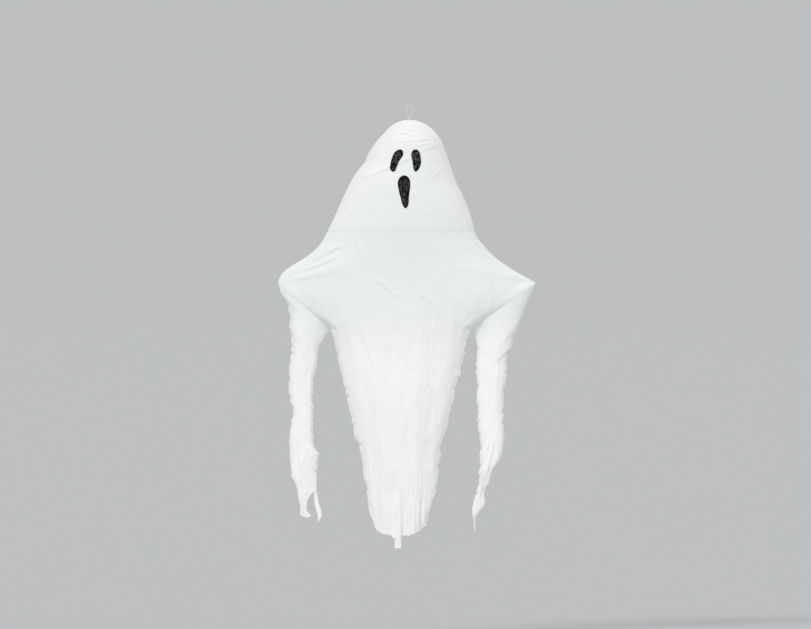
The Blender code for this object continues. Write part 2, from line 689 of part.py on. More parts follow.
def main():
    clear_scene()
    parts = bpy.data.collections.new("hanging_fabric_ghost")
    bpy.context.scene.collection.children.link(parts)
    white, black = (0.86, 0.87, 0.86), (0.012, 0.012, 0.014)
    hood, body = make_hood(parts), make_body(parts)
    for cloth in (hood, body, make_left_sleeve(parts), make_right_sleeve(parts)):
        paint(cloth, cloth.name + "_cloth", white, 0.8)
    hood_surface = surface_of(hood)
    for name, patch in (("left_eye", LEFT_EYE), ("right_eye", RIGHT_EYE), ("mouth", MOUTH)):
        paint(make_patch(parts, name, hood_surface, *patch), name + "_black", black, 0.45)
    paint(make_ball(parts), "white_foam", (0.82, 0.82, 0.80), 0.9)
    paint(make_wire(parts), "steel_wire", (0.42, 0.42, 0.43), 0.35, 1.0)
    paint(make_hanging_loop(parts), "loop_cord", (0.84, 0.84, 0.82), 0.7)
    paint(make_label(parts), "label_tape", (0.84, 0.84, 0.84), 0.7)


main()
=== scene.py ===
"""Scene of a giant hanging fabric ghost, dressed over its solids.

Metres, +Z up. The origin is where a hook bears inside the top of the hanging loop, and the face
looks along -Y. "Left" and "right" are the viewer's, and "drop" is the distance below the crown.
"""

import math

import bmesh
import bpy
import numpy as np
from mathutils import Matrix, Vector


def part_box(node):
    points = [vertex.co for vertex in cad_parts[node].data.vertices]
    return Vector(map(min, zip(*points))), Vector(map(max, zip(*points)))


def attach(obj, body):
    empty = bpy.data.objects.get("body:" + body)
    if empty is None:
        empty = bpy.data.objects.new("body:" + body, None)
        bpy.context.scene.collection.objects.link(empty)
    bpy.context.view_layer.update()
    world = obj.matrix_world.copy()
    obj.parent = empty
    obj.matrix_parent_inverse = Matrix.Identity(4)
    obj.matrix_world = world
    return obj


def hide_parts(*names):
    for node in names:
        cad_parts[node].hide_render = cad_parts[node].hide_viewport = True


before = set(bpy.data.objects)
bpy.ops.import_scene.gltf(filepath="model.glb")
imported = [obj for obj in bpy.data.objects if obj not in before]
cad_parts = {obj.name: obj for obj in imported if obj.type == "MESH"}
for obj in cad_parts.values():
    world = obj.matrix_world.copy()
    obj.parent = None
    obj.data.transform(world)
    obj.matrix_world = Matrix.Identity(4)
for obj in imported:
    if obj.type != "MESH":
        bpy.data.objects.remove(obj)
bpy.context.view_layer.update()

PICTURE_WIDTH = 3.980  # of the whole picture at the ghost
PICTURE_MIDDLE = (-0.0196, -1.0244)
CAMERA_AWAY = 60.0
SENSOR = 36.0
FLOOR_Z = -2.60
FLOOR_SIZE = 4000.0
BACKGROUND = "#BDBFC1"


def linear(hex_colour):
    """The linear RGBA of an sRGB colour such as #A0B0C0."""
    parts = [int(hex_colour[i:i + 2], 16) / 255 for i in (1, 3, 5)]
    return (*[c / 12.92 if c <= 0.04045 else ((c + 0.055) / 1.055) ** 2.4 for c in parts], 1.0)


def set_inputs(tree, node, inputs):
    """Sets inputs of a node. Each is a value, or the output of another node."""
    for name, value in inputs.items():
        if isinstance(value, bpy.types.NodeSocket):
            tree.links.new(value, node.inputs[name])
        else:
            node.inputs[name].default_value = value


def add_node(tree, kind, settings=None, inputs=None, place=(0, 0)):
    """Adds a node with its settings and its inputs."""
    node = tree.nodes.new(kind)
    node.location = place
    for name, value in (settings or {}).items():
        setattr(node, name, value)
    set_inputs(tree, node, inputs or {})
    return node


def new_material(name):
    """A material with its Principled shader: (material, node tree, shader)."""
    material = bpy.data.materials.new(name)
    material.use_nodes = True
    return material, material.node_tree, material.node_tree.nodes["Principled BSDF"]


bpy.context.scene.view_settings.view_transform = "Standard"
camera_data = bpy.data.cameras.new("camera")
camera_data.sensor_width = SENSOR
camera_data.lens = SENSOR * CAMERA_AWAY / PICTURE_WIDTH
camera_data.clip_end = 10000.0
camera = bpy.data.objects.new("camera", camera_data)
camera.location = (PICTURE_MIDDLE[0], -CAMERA_AWAY, PICTURE_MIDDLE[1])
camera.rotation_euler = (math.pi / 2, 0, 0)
bpy.context.collection.objects.link(camera)
bpy.context.scene.camera = camera

# (name, degrees round to the viewer's right, degrees up, strength, degrees across)
LAMPS = (
    ("key_light", -30, 28, 1.00, 14),
    ("front_light", 40, 4, 0.60, 30),
    ("back_light", 165, 40, 0.60, 30),
)
for lamp_name, around, height, strength, width in LAMPS:
    lamp_data = bpy.data.lights.new(lamp_name, "SUN")
    lamp_data.energy = strength
    lamp_data.angle = math.radians(width)
    lamp = bpy.data.objects.new(lamp_name, lamp_data)
    turn, rise = math.radians(around), math.radians(height)
    towards = Vector((
        math.sin(turn) * math.cos(rise), -math.cos(turn) * math.cos(rise), math.sin(rise),
    ))
    lamp.rotation_euler = towards.to_track_quat("Z", "Y").to_euler()
    bpy.context.collection.objects.link(lamp)

WORLD_FILL = 0.71  # even light from all round
world = bpy.data.worlds.new("studio")
bpy.context.scene.world = world
world.use_nodes = True
world_tree = world.node_tree
world_tree.nodes.clear()
light_path = add_node(world_tree, "ShaderNodeLightPath", place=(-800, 200))
seen = add_node(
    world_tree, "ShaderNodeMath", {"operation": "MAXIMUM"},
    {0: light_path.outputs["Is Camera Ray"], 1: light_path.outputs["Is Glossy Ray"]}, (-600, 200),
)
seen = add_node(
    world_tree, "ShaderNodeMath", {"operation": "MAXIMUM"},
    {0: seen.outputs[0], 1: light_path.outputs["Is Transmission Ray"]}, (-400, 200),
)
fill = add_node(
    world_tree, "ShaderNodeBackground", None,
    {"Color": (1, 1, 1, 1), "Strength": WORLD_FILL}, (-400, 0),
)
behind = add_node(
    world_tree, "ShaderNodeBackground", None,
    {"Color": linear(BACKGROUND), "Strength": 1.0}, (-400, -200),
)
both = add_node(
    world_tree, "ShaderNodeMixShader", None,
    {0: seen.outputs[0], 1: fill.outputs[0], 2: behind.outputs[0]}, (-200, 0),
)
add_node(world_tree, "ShaderNodeOutputWorld", None, {"Surface": both.outputs[0]}, (0, 0))

floor_mesh = bmesh.new()
bmesh.ops.create_grid(floor_mesh, x_segments=1, y_segments=1, size=FLOOR_SIZE / 2)
bmesh.ops.translate(floor_mesh, verts=floor_mesh.verts, vec=(0, 0, FLOOR_Z))
floor_data = bpy.data.meshes.new("floor")
floor_mesh.to_mesh(floor_data)
floor_mesh.free()
floor = bpy.data.objects.new("floor", floor_data)
bpy.context.collection.objects.link(floor)
# Matt studio floor, in the grey that this light brings to the colour of the background
floor_paint, floor_tree, floor_shader = new_material("matt_studio_floor")
lamp_light = sum(strong * math.sin(math.radians(high)) for _, _, high, strong, _ in LAMPS)
floor_light = WORLD_FILL + lamp_light / math.pi
floor_colour = (*[part / floor_light for part in linear(BACKGROUND)[:3]], 1.0)
set_inputs(
    floor_tree, floor_shader,
    {"Base Color": floor_colour, "Roughness": 1.0, "Specular IOR Level": 0.0},
)
floor_data.materials.append(floor_paint)


# Hanging loop: one length of thin white cord. Each end is hitched round the shoulder wire, and both
# runs come up through the bore of the ball and the hole in the crown and meet in the loop.
LOOP_RISE = 0.070  # crown to the place where the hook bears
CROWN_Z = -LOOP_RISE
CLOTH = 0.0010  # thickness that the cloth has in the solids
SEAT_GAP = 0.0003
BALL_RADIUS = 0.145
WIRE_RADIUS = 0.0020
CORD_RADIUS = 0.0011
LOOP_HALF_WIDTH = 0.014
HITCH_TURNS = 2
HITCH_STEPS = 36
HITCH_PITCH = CORD_RADIUS * 2 + SEAT_GAP * 3
HITCH_RADIUS = CORD_RADIUS * 4  # two cord widths
HITCH_RISE = HITCH_RADIUS - CORD_RADIUS - WIRE_RADIUS - SEAT_GAP
BALL_DROP = CLOTH / 2 + SEAT_GAP + BALL_RADIUS
WIRE_DROP = BALL_DROP + BALL_RADIUS + SEAT_GAP + CORD_RADIUS + HITCH_RADIUS + HITCH_RISE
CORD_TWIST = 0.0065  # length in which a strand goes once round
STRAND_DEPTH = 0.14  # share of the radius from a strand's crest to the groove beside it
RING_SPACING = 0.0011
CORD_FUZZ = 0.0009


def through(points, steps):
    """A smooth route through given points, with that many steps between each two."""
    route = []
    padded = [points[0], *points, points[-1]]
    for a, b, c, d in zip(padded, padded[1:], padded[2:], padded[3:]):
        for k in range(steps):
            t = k / steps
            route.append(
                b * 2 + (c - a) * t + (a * 2 - b * 5 + c * 4 - d) * t * t
                + (b * 3 - a - c * 3 + d) * t**3
            )
    return [point / 2 for point in route] + [points[-1]]


def hitch(sign):
    """One end of the cord: it comes down beside the wire and turns round it."""
    places = []
    for k in range(HITCH_TURNS * HITCH_STEPS, -1, -1):
        turn = 2 * math.pi * k / HITCH_STEPS
        x = sign * HITCH_PITCH * (0.3 + k / HITCH_STEPS)
        y, rise = sign * HITCH_RADIUS * math.cos(turn), -HITCH_RADIUS * math.sin(turn)
        places.append(Vector((x, y, CROWN_Z - WIRE_DROP + HITCH_RISE + rise)))
    return places


def even(route, spacing):
    """Points evenly spaced along a route, for the rings of a tube."""
    spots = np.array(route)
    gone = np.concatenate([[0.0], np.cumsum(np.linalg.norm(np.diff(spots, axis=0), axis=1))])
    at = np.linspace(0.0, gone[-1], round(gone[-1] / spacing))
    columns = [np.interp(at, gone, spots[:, k]) for k in range(3)]
    return [Vector(point) for point in np.stack(columns, axis=1)]


def twisted_cord(rings, radius, around=12, strands=3):
    """A bmesh tube through its ring centres, with the lay of its strands turning as it goes."""
    mesh = bmesh.new()
    made = bmesh.ops.create_grid(mesh, x_segments=around, y_segments=len(rings) - 1, size=1.0)
    frames, gone = [], 0.0
    side = None
    for k, point in enumerate(rings):
        ahead = (rings[min(k + 1, len(rings) - 1)] - rings[max(k - 1, 0)]).normalized()
        if side is None:
            side = ahead.orthogonal()
        side = (side - ahead * side.dot(ahead)).normalized()
        if k:
            gone += (point - rings[k - 1]).length
        frames.append((point, side.copy(), ahead.cross(side), gone))
    for vert in made["verts"]:
        column = round((vert.co.x + 1) / 2 * around)
        row = round((vert.co.y + 1) / 2 * (len(rings) - 1))
        point, side, up, along = frames[row]
        turn = 2 * math.pi * column / around
        lobe = abs(math.cos(strands / 2 * (turn - 2 * math.pi * along / CORD_TWIST)))
        reach = radius * (1 - STRAND_DEPTH + STRAND_DEPTH * lobe)
        vert.co = point + (side * math.cos(turn) + up * math.sin(turn)) * reach
    bmesh.ops.remove_doubles(mesh, verts=mesh.verts, dist=1e-6)
    ends = [edge for edge in mesh.edges if edge.is_boundary]
    bmesh.ops.holes_fill(mesh, edges=ends, sides=0)
    bmesh.ops.recalc_face_normals(mesh, faces=mesh.faces)
    return mesh


def make_piece(name, mesh, material, replaced, smooth_angle=50.0):
    """Turns a bmesh into a piece of the ghost, which stands for the solids that are named."""
    for face in mesh.faces:
        face.smooth = True
    for edge in mesh.edges:
        edge.smooth = edge.is_manifold and edge.calc_face_angle() < math.radians(smooth_angle)
    data = bpy.data.meshes.new(name)
    mesh.to_mesh(data)
    mesh.free()
    data.materials.append(material)
    piece = bpy.data.objects.new(name, data)
    bpy.context.collection.objects.link(piece)
    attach(piece, "root")
    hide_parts(*replaced)
    return piece


left_end = hitch(-1)
foot = left_end[-1]
rise_points = [
    Vector((foot.x, foot.y, CROWN_Z - 0.010)),
    Vector((-LOOP_HALF_WIDTH * 0.28, -LOOP_HALF_WIDTH * 0.22, CROWN_Z + LOOP_RISE * 0.17)),
    Vector((-LOOP_HALF_WIDTH * 0.75, -LOOP_HALF_WIDTH * 0.07, CROWN_Z + LOOP_RISE * 0.46)),
    Vector((-LOOP_HALF_WIDTH, 0, CROWN_Z + LOOP_RISE * 0.74)),
    Vector((-LOOP_HALF_WIDTH * 0.62, 0, CROWN_Z + LOOP_RISE * 0.96)),
    Vector((0, 0, CORD_RADIUS)),
]
fall_points = [Vector((-point.x, -point.y, point.z)) for point in reversed(rise_points[:-1])]
right_end = [Vector((-point.x, -point.y, point.z)) for point in reversed(left_end)]
cord_route = [*left_end, *through([*rise_points, *fall_points], 12), *right_end]
cord_rings = even(cord_route, RING_SPACING)

# Twisted cotton cord: soft and matt, with a fine fuzz over its strands.
cord_paint, cord_tree, cord_shader = new_material("twisted_cotton_cord")
cord_place = add_node(cord_tree, "ShaderNodeTexCoord", place=(-1000, 0))
cord_fuzz = add_node(
    cord_tree, "ShaderNodeTexNoise", None,
    {"Vector": cord_place.outputs["Object"], "Scale": 1 / CORD_FUZZ, "Detail": 3.0}, (-800, 0),
)
cord_tone = add_node(
    cord_tree, "ShaderNodeMix", {"data_type": "RGBA"},
    {"Factor": cord_fuzz.outputs[0], 6: linear("#D8D8D4"), 7: linear("#F2F2EF")}, (-500, 100),
)
cord_bump = add_node(
    cord_tree, "ShaderNodeBump", None,
    {"Height": cord_fuzz.outputs[0], "Strength": 0.5, "Distance": 0.0003}, (-400, -200),
)
set_inputs(cord_tree, cord_shader, {
    "Base Color": cord_tone.outputs[2], "Normal": cord_bump.outputs[0],
    "Roughness": 0.85, "Sheen Weight": 0.15,
})

loop = make_piece(
    "hanging_loop_cord", twisted_cord(cord_rings, CORD_RADIUS), cord_paint,
    ["hanging_loop"],
)


# Hood: two layers of thin white cloth, sewn at the sides, drawn over the ball. Its lower edge laps
# over the cloth of the body, and it lies in slack folds across the crown and beside the face.
HOOD_EDGE_DROP = 0.545
SHOULDER_DROP = 0.800
ARMPIT_DROP = 1.024
HEM_SIDE_DROP = 1.930
HEM_DIP = 0.118
LAP = 0.030
LAP_EASE = CLOTH + SEAT_GAP * 2
DOME_RADIUS = BALL_RADIUS + CLOTH / 2 + 0.0012
CROWN_HOLE_RADIUS = 0.0090
# How far each side of the hood stands out beyond the ball: (share of the way down, distance)
HOOD_FLARE_LEFT = (
    (0.0, 0.0), (0.105, 0.0), (0.178, 0.015), (0.250, 0.036), (0.312, 0.057), (0.371, 0.068),
    (0.429, 0.094), (0.556, 0.140), (0.717, 0.182), (0.879, 0.221), (1.0, 0.254),
)
HOOD_FLARE_RIGHT = (
    (0.0, 0.0), (0.105, 0.006), (0.178, 0.014), (0.250, 0.022), (0.312, 0.034), (0.446, 0.059),
    (0.556, 0.080), (0.717, 0.123), (0.879, 0.155), (1.0, 0.172),
)
CORNER_LEFT = 0.645
CORNER_RIGHT = 0.621
# From the hood's edge to the shoulder corners: (share of the drop, share of the way out)
RIDGE_LEFT = ((0.0, 0.0), (0.26, 0.16), (0.49, 0.42), (0.72, 0.80), (0.86, 0.95), (1.0, 1.0))
RIDGE_RIGHT = ((0.0, 0.0), (0.15, 0.06), (0.26, 0.14), (0.49, 0.32), (0.72, 0.59), (1.0, 1.0))
ARMPIT_LEFT = 0.388
ARMPIT_RIGHT = 0.300
# Side seams below the armpits: (share of the way down, distance from the axis)
SIDE_LEFT = (
    (0.16, 0.351), (0.32, 0.321), (0.52, 0.277), (0.72, 0.233), (0.85, 0.216), (1.0, 0.188),
)
SIDE_RIGHT = (
    (0.16, 0.262), (0.32, 0.228), (0.52, 0.186), (0.72, 0.147), (0.87, 0.128), (1.0, 0.086),
)
# Half depth in the middle of the width, by drop
BODY_DEPTH = (
    (DOME_RADIUS, DOME_RADIUS), (0.300, 0.150), (0.420, 0.146), (0.545, 0.136), (0.700, 0.126),
    (0.800, 0.122), (1.024, 0.128), (1.300, 0.128), (1.600, 0.110), (1.800, 0.092), (1.930, 0.080),
    (2.060, 0.066),
)
# How far the sections pinch in towards the side edges: 0 is an ellipse, less is fuller
PINCH = (
    (0.0, 0.0), (0.300, 0.0), (0.545, 0.35), (0.740, 0.65), (0.800, 0.62), (0.920, 0.40),
    (1.024, 0.05), (1.120, -0.10), (1.400, 0.0), (2.100, 0.0),
)
GATHER_HEIGHT = 0.0060
PULL_HEIGHT = 0.007
PULL_ANGLES = (14, 33)  # of the two pulls at a corner, in degrees above level
PULL_WIDTHS = (6, 5)
VALLEY_DEPTH = 0.001
FRONT_COLUMNS = 148
BACK_COLUMNS = 96
SHEER = 0.0006  # thickness that the cloth has here
SIDE_LIP = 0.012  # the two layers lie together along the side seams
LIP_DEPTH = 0.0006
TORN_STRIP = 0.030  # how far in from a side edge its tears are felt
# Side edges of the body: reach of the slow waves, the quick waves and the notches of its tears
SIDE_TEARS = (0.0050, 0.0052, 0.0130)
LONG_CREASE = 0.0016
SMALL_CREASE = 0.0010
CROWN_WRINKLE = 0.0016
# Single folds of the front: start and end (x, drop), width, height
FRONT_FOLDS = (
    ((-0.070, 0.030), (0.070, 0.022), 0.0060, 0.0030),
    ((-0.115, 0.074), (0.030, 0.060), 0.0065, 0.0044),
    ((-0.085, 0.058), (0.055, 0.084), 0.0060, 0.0040),
    ((-0.140, 0.098), (0.020, 0.090), 0.0070, 0.0040),
    ((-0.110, 0.114), (0.115, 0.096), 0.0070, 0.0046),
    ((-0.030, 0.045), (0.110, 0.062), 0.0055, 0.0034),
    ((-0.180, 0.132), (-0.060, 0.108), 0.0070, 0.0044),
    ((0.020, 0.130), (0.135, 0.112), 0.0065, 0.0040),
    ((-0.190, 0.160), (-0.110, 0.140), 0.0060, 0.0026),
    ((0.055, 0.156), (0.145, 0.122), 0.0080, 0.0045),
    ((-0.262, 0.300), (-0.060, 0.218), 0.0140, 0.0060),
    ((-0.110, 0.246), (0.090, 0.140), 0.0120, 0.0038),
    ((0.105, 0.292), (0.175, 0.226), 0.0100, 0.0026),
    ((-0.262, 0.345), (-0.190, 0.384), 0.0100, 0.0016),
    ((-0.340, 0.405), (-0.240, 0.500), 0.0140, 0.0018),
    ((-0.255, 0.420), (-0.200, 0.455), 0.0090, 0.0010),
    ((0.075, 0.470), (0.135, 0.420), 0.0070, 0.0016),
    ((0.200, 0.330), (0.260, 0.440), 0.0090, 0.0018),
    ((-0.600, 0.735), (-0.400, 0.618), 0.0090, 0.0085),
    ((-0.570, 0.760), (-0.320, 0.660), 0.0100, 0.0075),
    ((-0.500, 0.700), (-0.300, 0.600), 0.0090, 0.0060),
    ((-0.270, 0.548), (-0.232, 0.690), 0.0100, 0.0050),
    ((0.262, 0.545), (0.405, 0.672), 0.0095, 0.0120),
    ((0.300, 0.545), (0.440, 0.690), 0.0090, 0.0120),
    ((0.330, 0.640), (0.520, 0.752), 0.0090, 0.0085),
    ((0.395, 0.735), (0.402, 0.850), 0.0070, 0.0036),
    ((0.418, 0.820), (0.392, 0.950), 0.0070, 0.0036),
    ((0.322, 0.800), (0.322, 1.045), 0.0070, 0.0050),
    ((-0.172, 0.772), (-0.080, 0.856), 0.0090, 0.0064),
    ((-0.100, 0.850), (-0.010, 0.872), 0.0070, 0.0050),
    ((0.020, 0.832), (0.155, 0.930), 0.0075, 0.0062),
    ((-0.020, 0.900), (0.000, 1.060), 0.0070, 0.0036),
    ((0.055, 0.905), (0.062, 1.080), 0.0070, 0.0036),
    ((-0.215, 0.880), (-0.150, 1.090), 0.0070, 0.0040),
    ((-0.250, 1.000), (-0.165, 1.240), 0.0080, 0.0040),
    ((0.120, 0.960), (0.112, 1.150), 0.0070, 0.0034),
    ((-0.060, 0.930), (-0.095, 1.090), 0.0070, 0.0030),
)


def curve(points, at):
    """A curve through (place, value) points that never overshoots them (monotone cubic)."""
    x, y = np.array(points, float).T
    at = np.clip(at, x[0], x[-1])
    step = np.diff(x)
    slope = np.diff(y) / step
    tangent = np.zeros(len(x))
    tangent[0], tangent[-1] = slope[0], slope[-1]
    for k in range(1, len(x) - 1):
        if slope[k - 1] * slope[k] > 0:
            a, b = 2 * step[k] + step[k - 1], step[k] + 2 * step[k - 1]
            tangent[k] = (a + b) / (a / slope[k - 1] + b / slope[k])
    i = np.clip(np.searchsorted(x, at, side="right") - 1, 0, len(x) - 2)
    t, h = (at - x[i]) / step[i], step[i]
    return (
        y[i] * (1 + 2 * t) * (1 - t) ** 2 + tangent[i] * h * t * (1 - t) ** 2
        + y[i + 1] * t * t * (3 - 2 * t) + tangent[i + 1] * h * t * t * (t - 1)
    )


def ease(low, high, at):
    """0 below low, 1 above high, and a smooth step between."""
    t = np.clip((at - low) / (high - low), 0.0, 1.0)
    return t * t * (3 - 2 * t)


def waves(a, b, seed):
    """Smooth random waves between -1 and 1, about one for each unit of a and of b."""
    table = np.random.default_rng(seed).uniform(-1, 1, (128, 128))
    a, b = np.broadcast_arrays(np.asarray(a, float), np.asarray(b, float))
    i, j = np.floor(a).astype(int), np.floor(b).astype(int)
    s, t = ease(0.0, 1.0, a - i), ease(0.0, 1.0, b - j)
    low = table[i % 128, j % 128] * (1 - s) + table[(i + 1) % 128, j % 128] * s
    high = table[i % 128, (j + 1) % 128] * (1 - s) + table[(i + 1) % 128, (j + 1) % 128] * s
    return low * (1 - t) + high * t


def dome_half(drop):
    """Half width of the dome of cloth over the ball."""
    d = np.clip(drop, 0.0, DOME_RADIUS)
    return np.sqrt(2 * DOME_RADIUS * d - d * d)


def side_reach(drop, left):
    """Distance from the axis to the cloth's edge on one side."""
    flare = HOOD_FLARE_LEFT if left else HOOD_FLARE_RIGHT
    ridge = RIDGE_LEFT if left else RIDGE_RIGHT
    corner = CORNER_LEFT if left else CORNER_RIGHT
    armpit = ARMPIT_LEFT if left else ARMPIT_RIGHT
    seam = SIDE_LEFT if left else SIDE_RIGHT
    neck = DOME_RADIUS + flare[-1][1]
    hood = dome_half(drop) + curve(flare, drop / HOOD_EDGE_DROP)
    along = (drop - HOOD_EDGE_DROP) / (SHOULDER_DROP - HOOD_EDGE_DROP)
    chest = neck + (corner - neck) * curve(ridge, along)
    armhole = corner + (armpit - corner) * (drop - SHOULDER_DROP) / (ARMPIT_DROP - SHOULDER_DROP)
    down = (drop - ARMPIT_DROP) / (HEM_SIDE_DROP - ARMPIT_DROP)
    skirt = curve(((0.0, armpit), *seam), down)
    return np.where(
        drop <= HOOD_EDGE_DROP, hood,
        np.where(drop <= SHOULDER_DROP, chest, np.where(drop <= ARMPIT_DROP, armhole, skirt)),
    )


def drape_reach(level, left):
    """Where front and back would meet: at the side edge, but beyond it beside the armhole."""
    corner = CORNER_LEFT if left else CORNER_RIGHT
    reach = side_reach(level, left)
    beside = (level > SHOULDER_DROP) & (level < ARMPIT_DROP)
    beyond = (corner - reach) * (1 - ease(SHOULDER_DROP, ARMPIT_DROP, level))
    return reach + np.where(beside, beyond, 0.0)


def depth_half(drop):
    """Half depth of the cloth in the middle of its width."""
    return np.where(drop < DOME_RADIUS, dome_half(drop), curve(BODY_DEPTH, drop))


def hang_line(x, drop):
    """The x at the chest of the thread that a point lies on: the threads draw together below."""
    return x / (1 - 0.35 * ease(ARMPIT_DROP, HEM_SIDE_DROP, drop))


def gathers(x, drop, side):
    """Lengthwise folds that run down the body and draw together with it."""
    thread = hang_line(x, drop)
    swell = GATHER_HEIGHT * ease(ARMPIT_DROP - 0.16, ARMPIT_DROP + 0.23, drop)
    swell = swell * (1 + 0.5 * ease(HEM_SIDE_DROP - 0.33, HEM_SIDE_DROP + 0.07, drop))
    turn = np.where(side < 0, 0.9, 2.3)
    broad = 0.40 * np.sin(32.0 * thread + turn)
    broad = broad + 0.30 * np.sin(56.0 * thread + 2 * turn + 2.0 * drop)
    close = ease(HEM_SIDE_DROP - 0.30, HEM_SIDE_DROP, drop) * (0.3 + 0.7 * ease(-0.12, -0.02, x))
    return swell * (broad + 0.9 * close * waves(thread * 75 + 30, drop * 4 + side * 3, 15))


def shoulder_pulls(x, drop, left):
    """Folds that fan out from a shoulder corner over the chest."""
    corner_x = -CORNER_LEFT if left else CORNER_RIGHT
    away = np.abs(x - corner_x)
    angle = np.degrees(np.arctan2(SHOULDER_DROP - drop, np.maximum(away, 1e-6)))
    fade = ease(0.03, 0.12, away) * (1 - ease(0.22, 0.42, away))
    fade = fade * (1 - ease(SHOULDER_DROP, SHOULDER_DROP + 0.12, drop))
    pulls = zip(PULL_ANGLES, PULL_WIDTHS)
    low, high = (np.exp(-(((angle - middle) / width) ** 2)) for middle, width in pulls)
    return PULL_HEIGHT * fade * (low + 0.8 * high)


def seam_valley(x, drop):
    """The shallow hollow in the body beside the armholes, where the weight of the sleeves pulls."""
    beside = side_reach(drop, True) - np.abs(x)
    along = ease(SHOULDER_DROP - 0.02, SHOULDER_DROP + 0.06, drop)
    along = along * (1 - ease(ARMPIT_DROP - 0.02, ARMPIT_DROP + 0.12, drop))
    return VALLEY_DEPTH * along * ease(0.0, 0.035, beside) * (1 - ease(0.04, 0.12, beside))


def fold_line(x, drop, start, end, width, height):
    """One soft fold along a line, steep on its lower side and fading out at both ends."""
    dx, dd = end[0] - start[0], end[1] - start[1]
    length = math.hypot(dx, dd)
    along = ((x - start[0]) * dx + (drop - start[1]) * dd) / length**2
    away = ((drop - start[1]) * dx - (x - start[0]) * dd) / length
    fade = ease(0.0, 0.3, along) * (1 - ease(0.7, 1.0, along))
    wide = np.where(away * dx > 0, width * 0.45, width)
    return height * fade * np.exp(-((away / wide) ** 2))


# Beside the armholes a row's width is blended with that of the rows round it, so that no crease
# runs across from the armpits: (distance down, share)
BLUR = (
    (-0.135, 0.035), (-0.108, 0.065), (-0.081, 0.100), (-0.054, 0.130), (-0.027, 0.150),
    (0.0, 0.160), (0.027, 0.150), (0.054, 0.130), (0.081, 0.080),
)
BLEND_FROM = (0.60, 0.72)  # drops between which the blend sets in
BLEND_TO = (1.20, 1.32)  # and dies out
BLEND_STRIP_HIGH = 0.090  # from the side edge in, at the shoulders
BLEND_STRIP_LOW = 0.045  # and at the armpits


def cloth_depth(side, x, drop, level, ease_out=0.0):
    """Y of the middle of the cloth. side is -1 in front and 1 behind, level the row's drop."""
    inset = np.minimum(side_reach(level, True) + x, side_reach(level, False) - x)
    narrower = (BLEND_STRIP_HIGH - BLEND_STRIP_LOW) * ease(SHOULDER_DROP, ARMPIT_DROP, level)
    soften = ease(0.0, BLEND_STRIP_HIGH - narrower, inset)
    soften = soften * ease(*BLEND_FROM, level) * (1 - ease(*BLEND_TO, level))
    reaches = []
    for left in (True, False):
        blended = sum(share * drape_reach(level + away, left) for away, share in BLUR)
        reaches.append(drape_reach(level, left) * (1 - soften) + blended * soften + ease_out)
    across = np.clip((2 * x + reaches[0] - reaches[1]) / (reaches[0] + reaches[1]), -1.0, 1.0)
    round_off = np.sqrt(1 - across * across)
    bulge = (depth_half(drop) + ease_out) * round_off ** (1 + curve(PINCH, drop))
    folds = gathers(x, drop, side)
    folds = folds + shoulder_pulls(x, drop, True) + shoulder_pulls(x, drop, False)
    folds = folds - seam_valley(x, drop)
    front = sum(fold_line(x, drop, *fold) for fold in FRONT_FOLDS)
    folds = folds + np.where(side < 0, front, 0.0) + crumple(x, drop, side)
    deep = bulge + folds * np.minimum(1.0, 2.2 * round_off)
    lip = (1 - ease(0.0, SIDE_LIP, inset)) * ease(ARMPIT_DROP + 0.01, ARMPIT_DROP + 0.06, level)
    return side * (deep * (1 - lip) + LIP_DEPTH * lip * (round_off > 1e-6))


def crumple(x, drop, side):
    """The small random folds of thin cloth that has been folded up small."""
    low = ease(ARMPIT_DROP - 0.28, ARMPIT_DROP + 0.02, drop)
    near_hem = ease(1.62, 1.95, drop)
    thread = hang_line(x, drop)
    long_folds = waves(thread * 29 + 40, drop * 6 + side * 3, 11)
    long_folds = long_folds + 0.9 * waves(thread * 55 + 40, drop * 11 + side * 5, 12)
    mottled = waves(x * 16 + 30, drop * 11 + side, 13)
    mottled = mottled + 0.6 * waves(x * 34 + 30, drop * 21 + side, 14)
    crown = ease(0.005, 0.03, drop) * (1 - ease(0.10, 0.20, drop))
    wrinkles = waves(x * 9 + 30, (drop + 0.12 * x) * 85 + side, 16)
    return (
        LONG_CREASE * low * (1 + 0.6 * near_hem) * long_folds
        + SMALL_CREASE * ease(0.10, 0.35, drop) * mottled + CROWN_WRINKLE * crown * wrinkles
    )


def cloth_place(side, column, level, ease_out=0.0):
    """Points of the hood or body, from shares of the way across and the drops of their rows."""
    turn = math.pi * (column - 0.5)
    left, right = -side_reach(level, True) - ease_out, side_reach(level, False) + ease_out
    x = (left + right) / 2 + (right - left) / 2 * np.sin(turn)
    edge = 1 - ease(0.0, TORN_STRIP, np.minimum(x - left, right - x))
    torn_x = x + frayed(level, column < 0.5) * np.sign(column - 0.5) * edge
    near_hem = ease(HEM_SIDE_DROP - 0.31, HEM_SIDE_DROP, level)
    dip = HEM_DIP * near_hem * np.maximum(np.cos(turn), 0.0) ** 0.8
    drop = level + dip
    return torn_x, cloth_depth(side, x, drop, level, ease_out), drop


def tears(share, row, counts, seeds, calm, reach):
    """How far a torn edge stands out, by its slow waves, its quick waves and its notches.

    The quick waves die down to the share calm in places.
    """
    slow, quick, lively, notch = (waves(share * n, row, seed) for n, seed in zip(counts, seeds))
    quick = quick * (calm + (1 - calm) * ease(-0.3, 0.5, lively))
    notches = np.maximum(notch - 0.35, 0.0)
    return reach[0] * slow + reach[1] * quick - reach[2] * notches


def frayed(level, left):
    """How far the torn side edge of the body stands out."""
    down = (level - ARMPIT_DROP) / (HEM_SIDE_DROP - ARMPIT_DROP)
    row = np.where(left, 7, 3)
    torn = tears(down, row, (19, 47, 9, 52), (5, 6, 8, 7), 0.35, SIDE_TEARS)
    return ease(0.02, 0.08, down) * torn


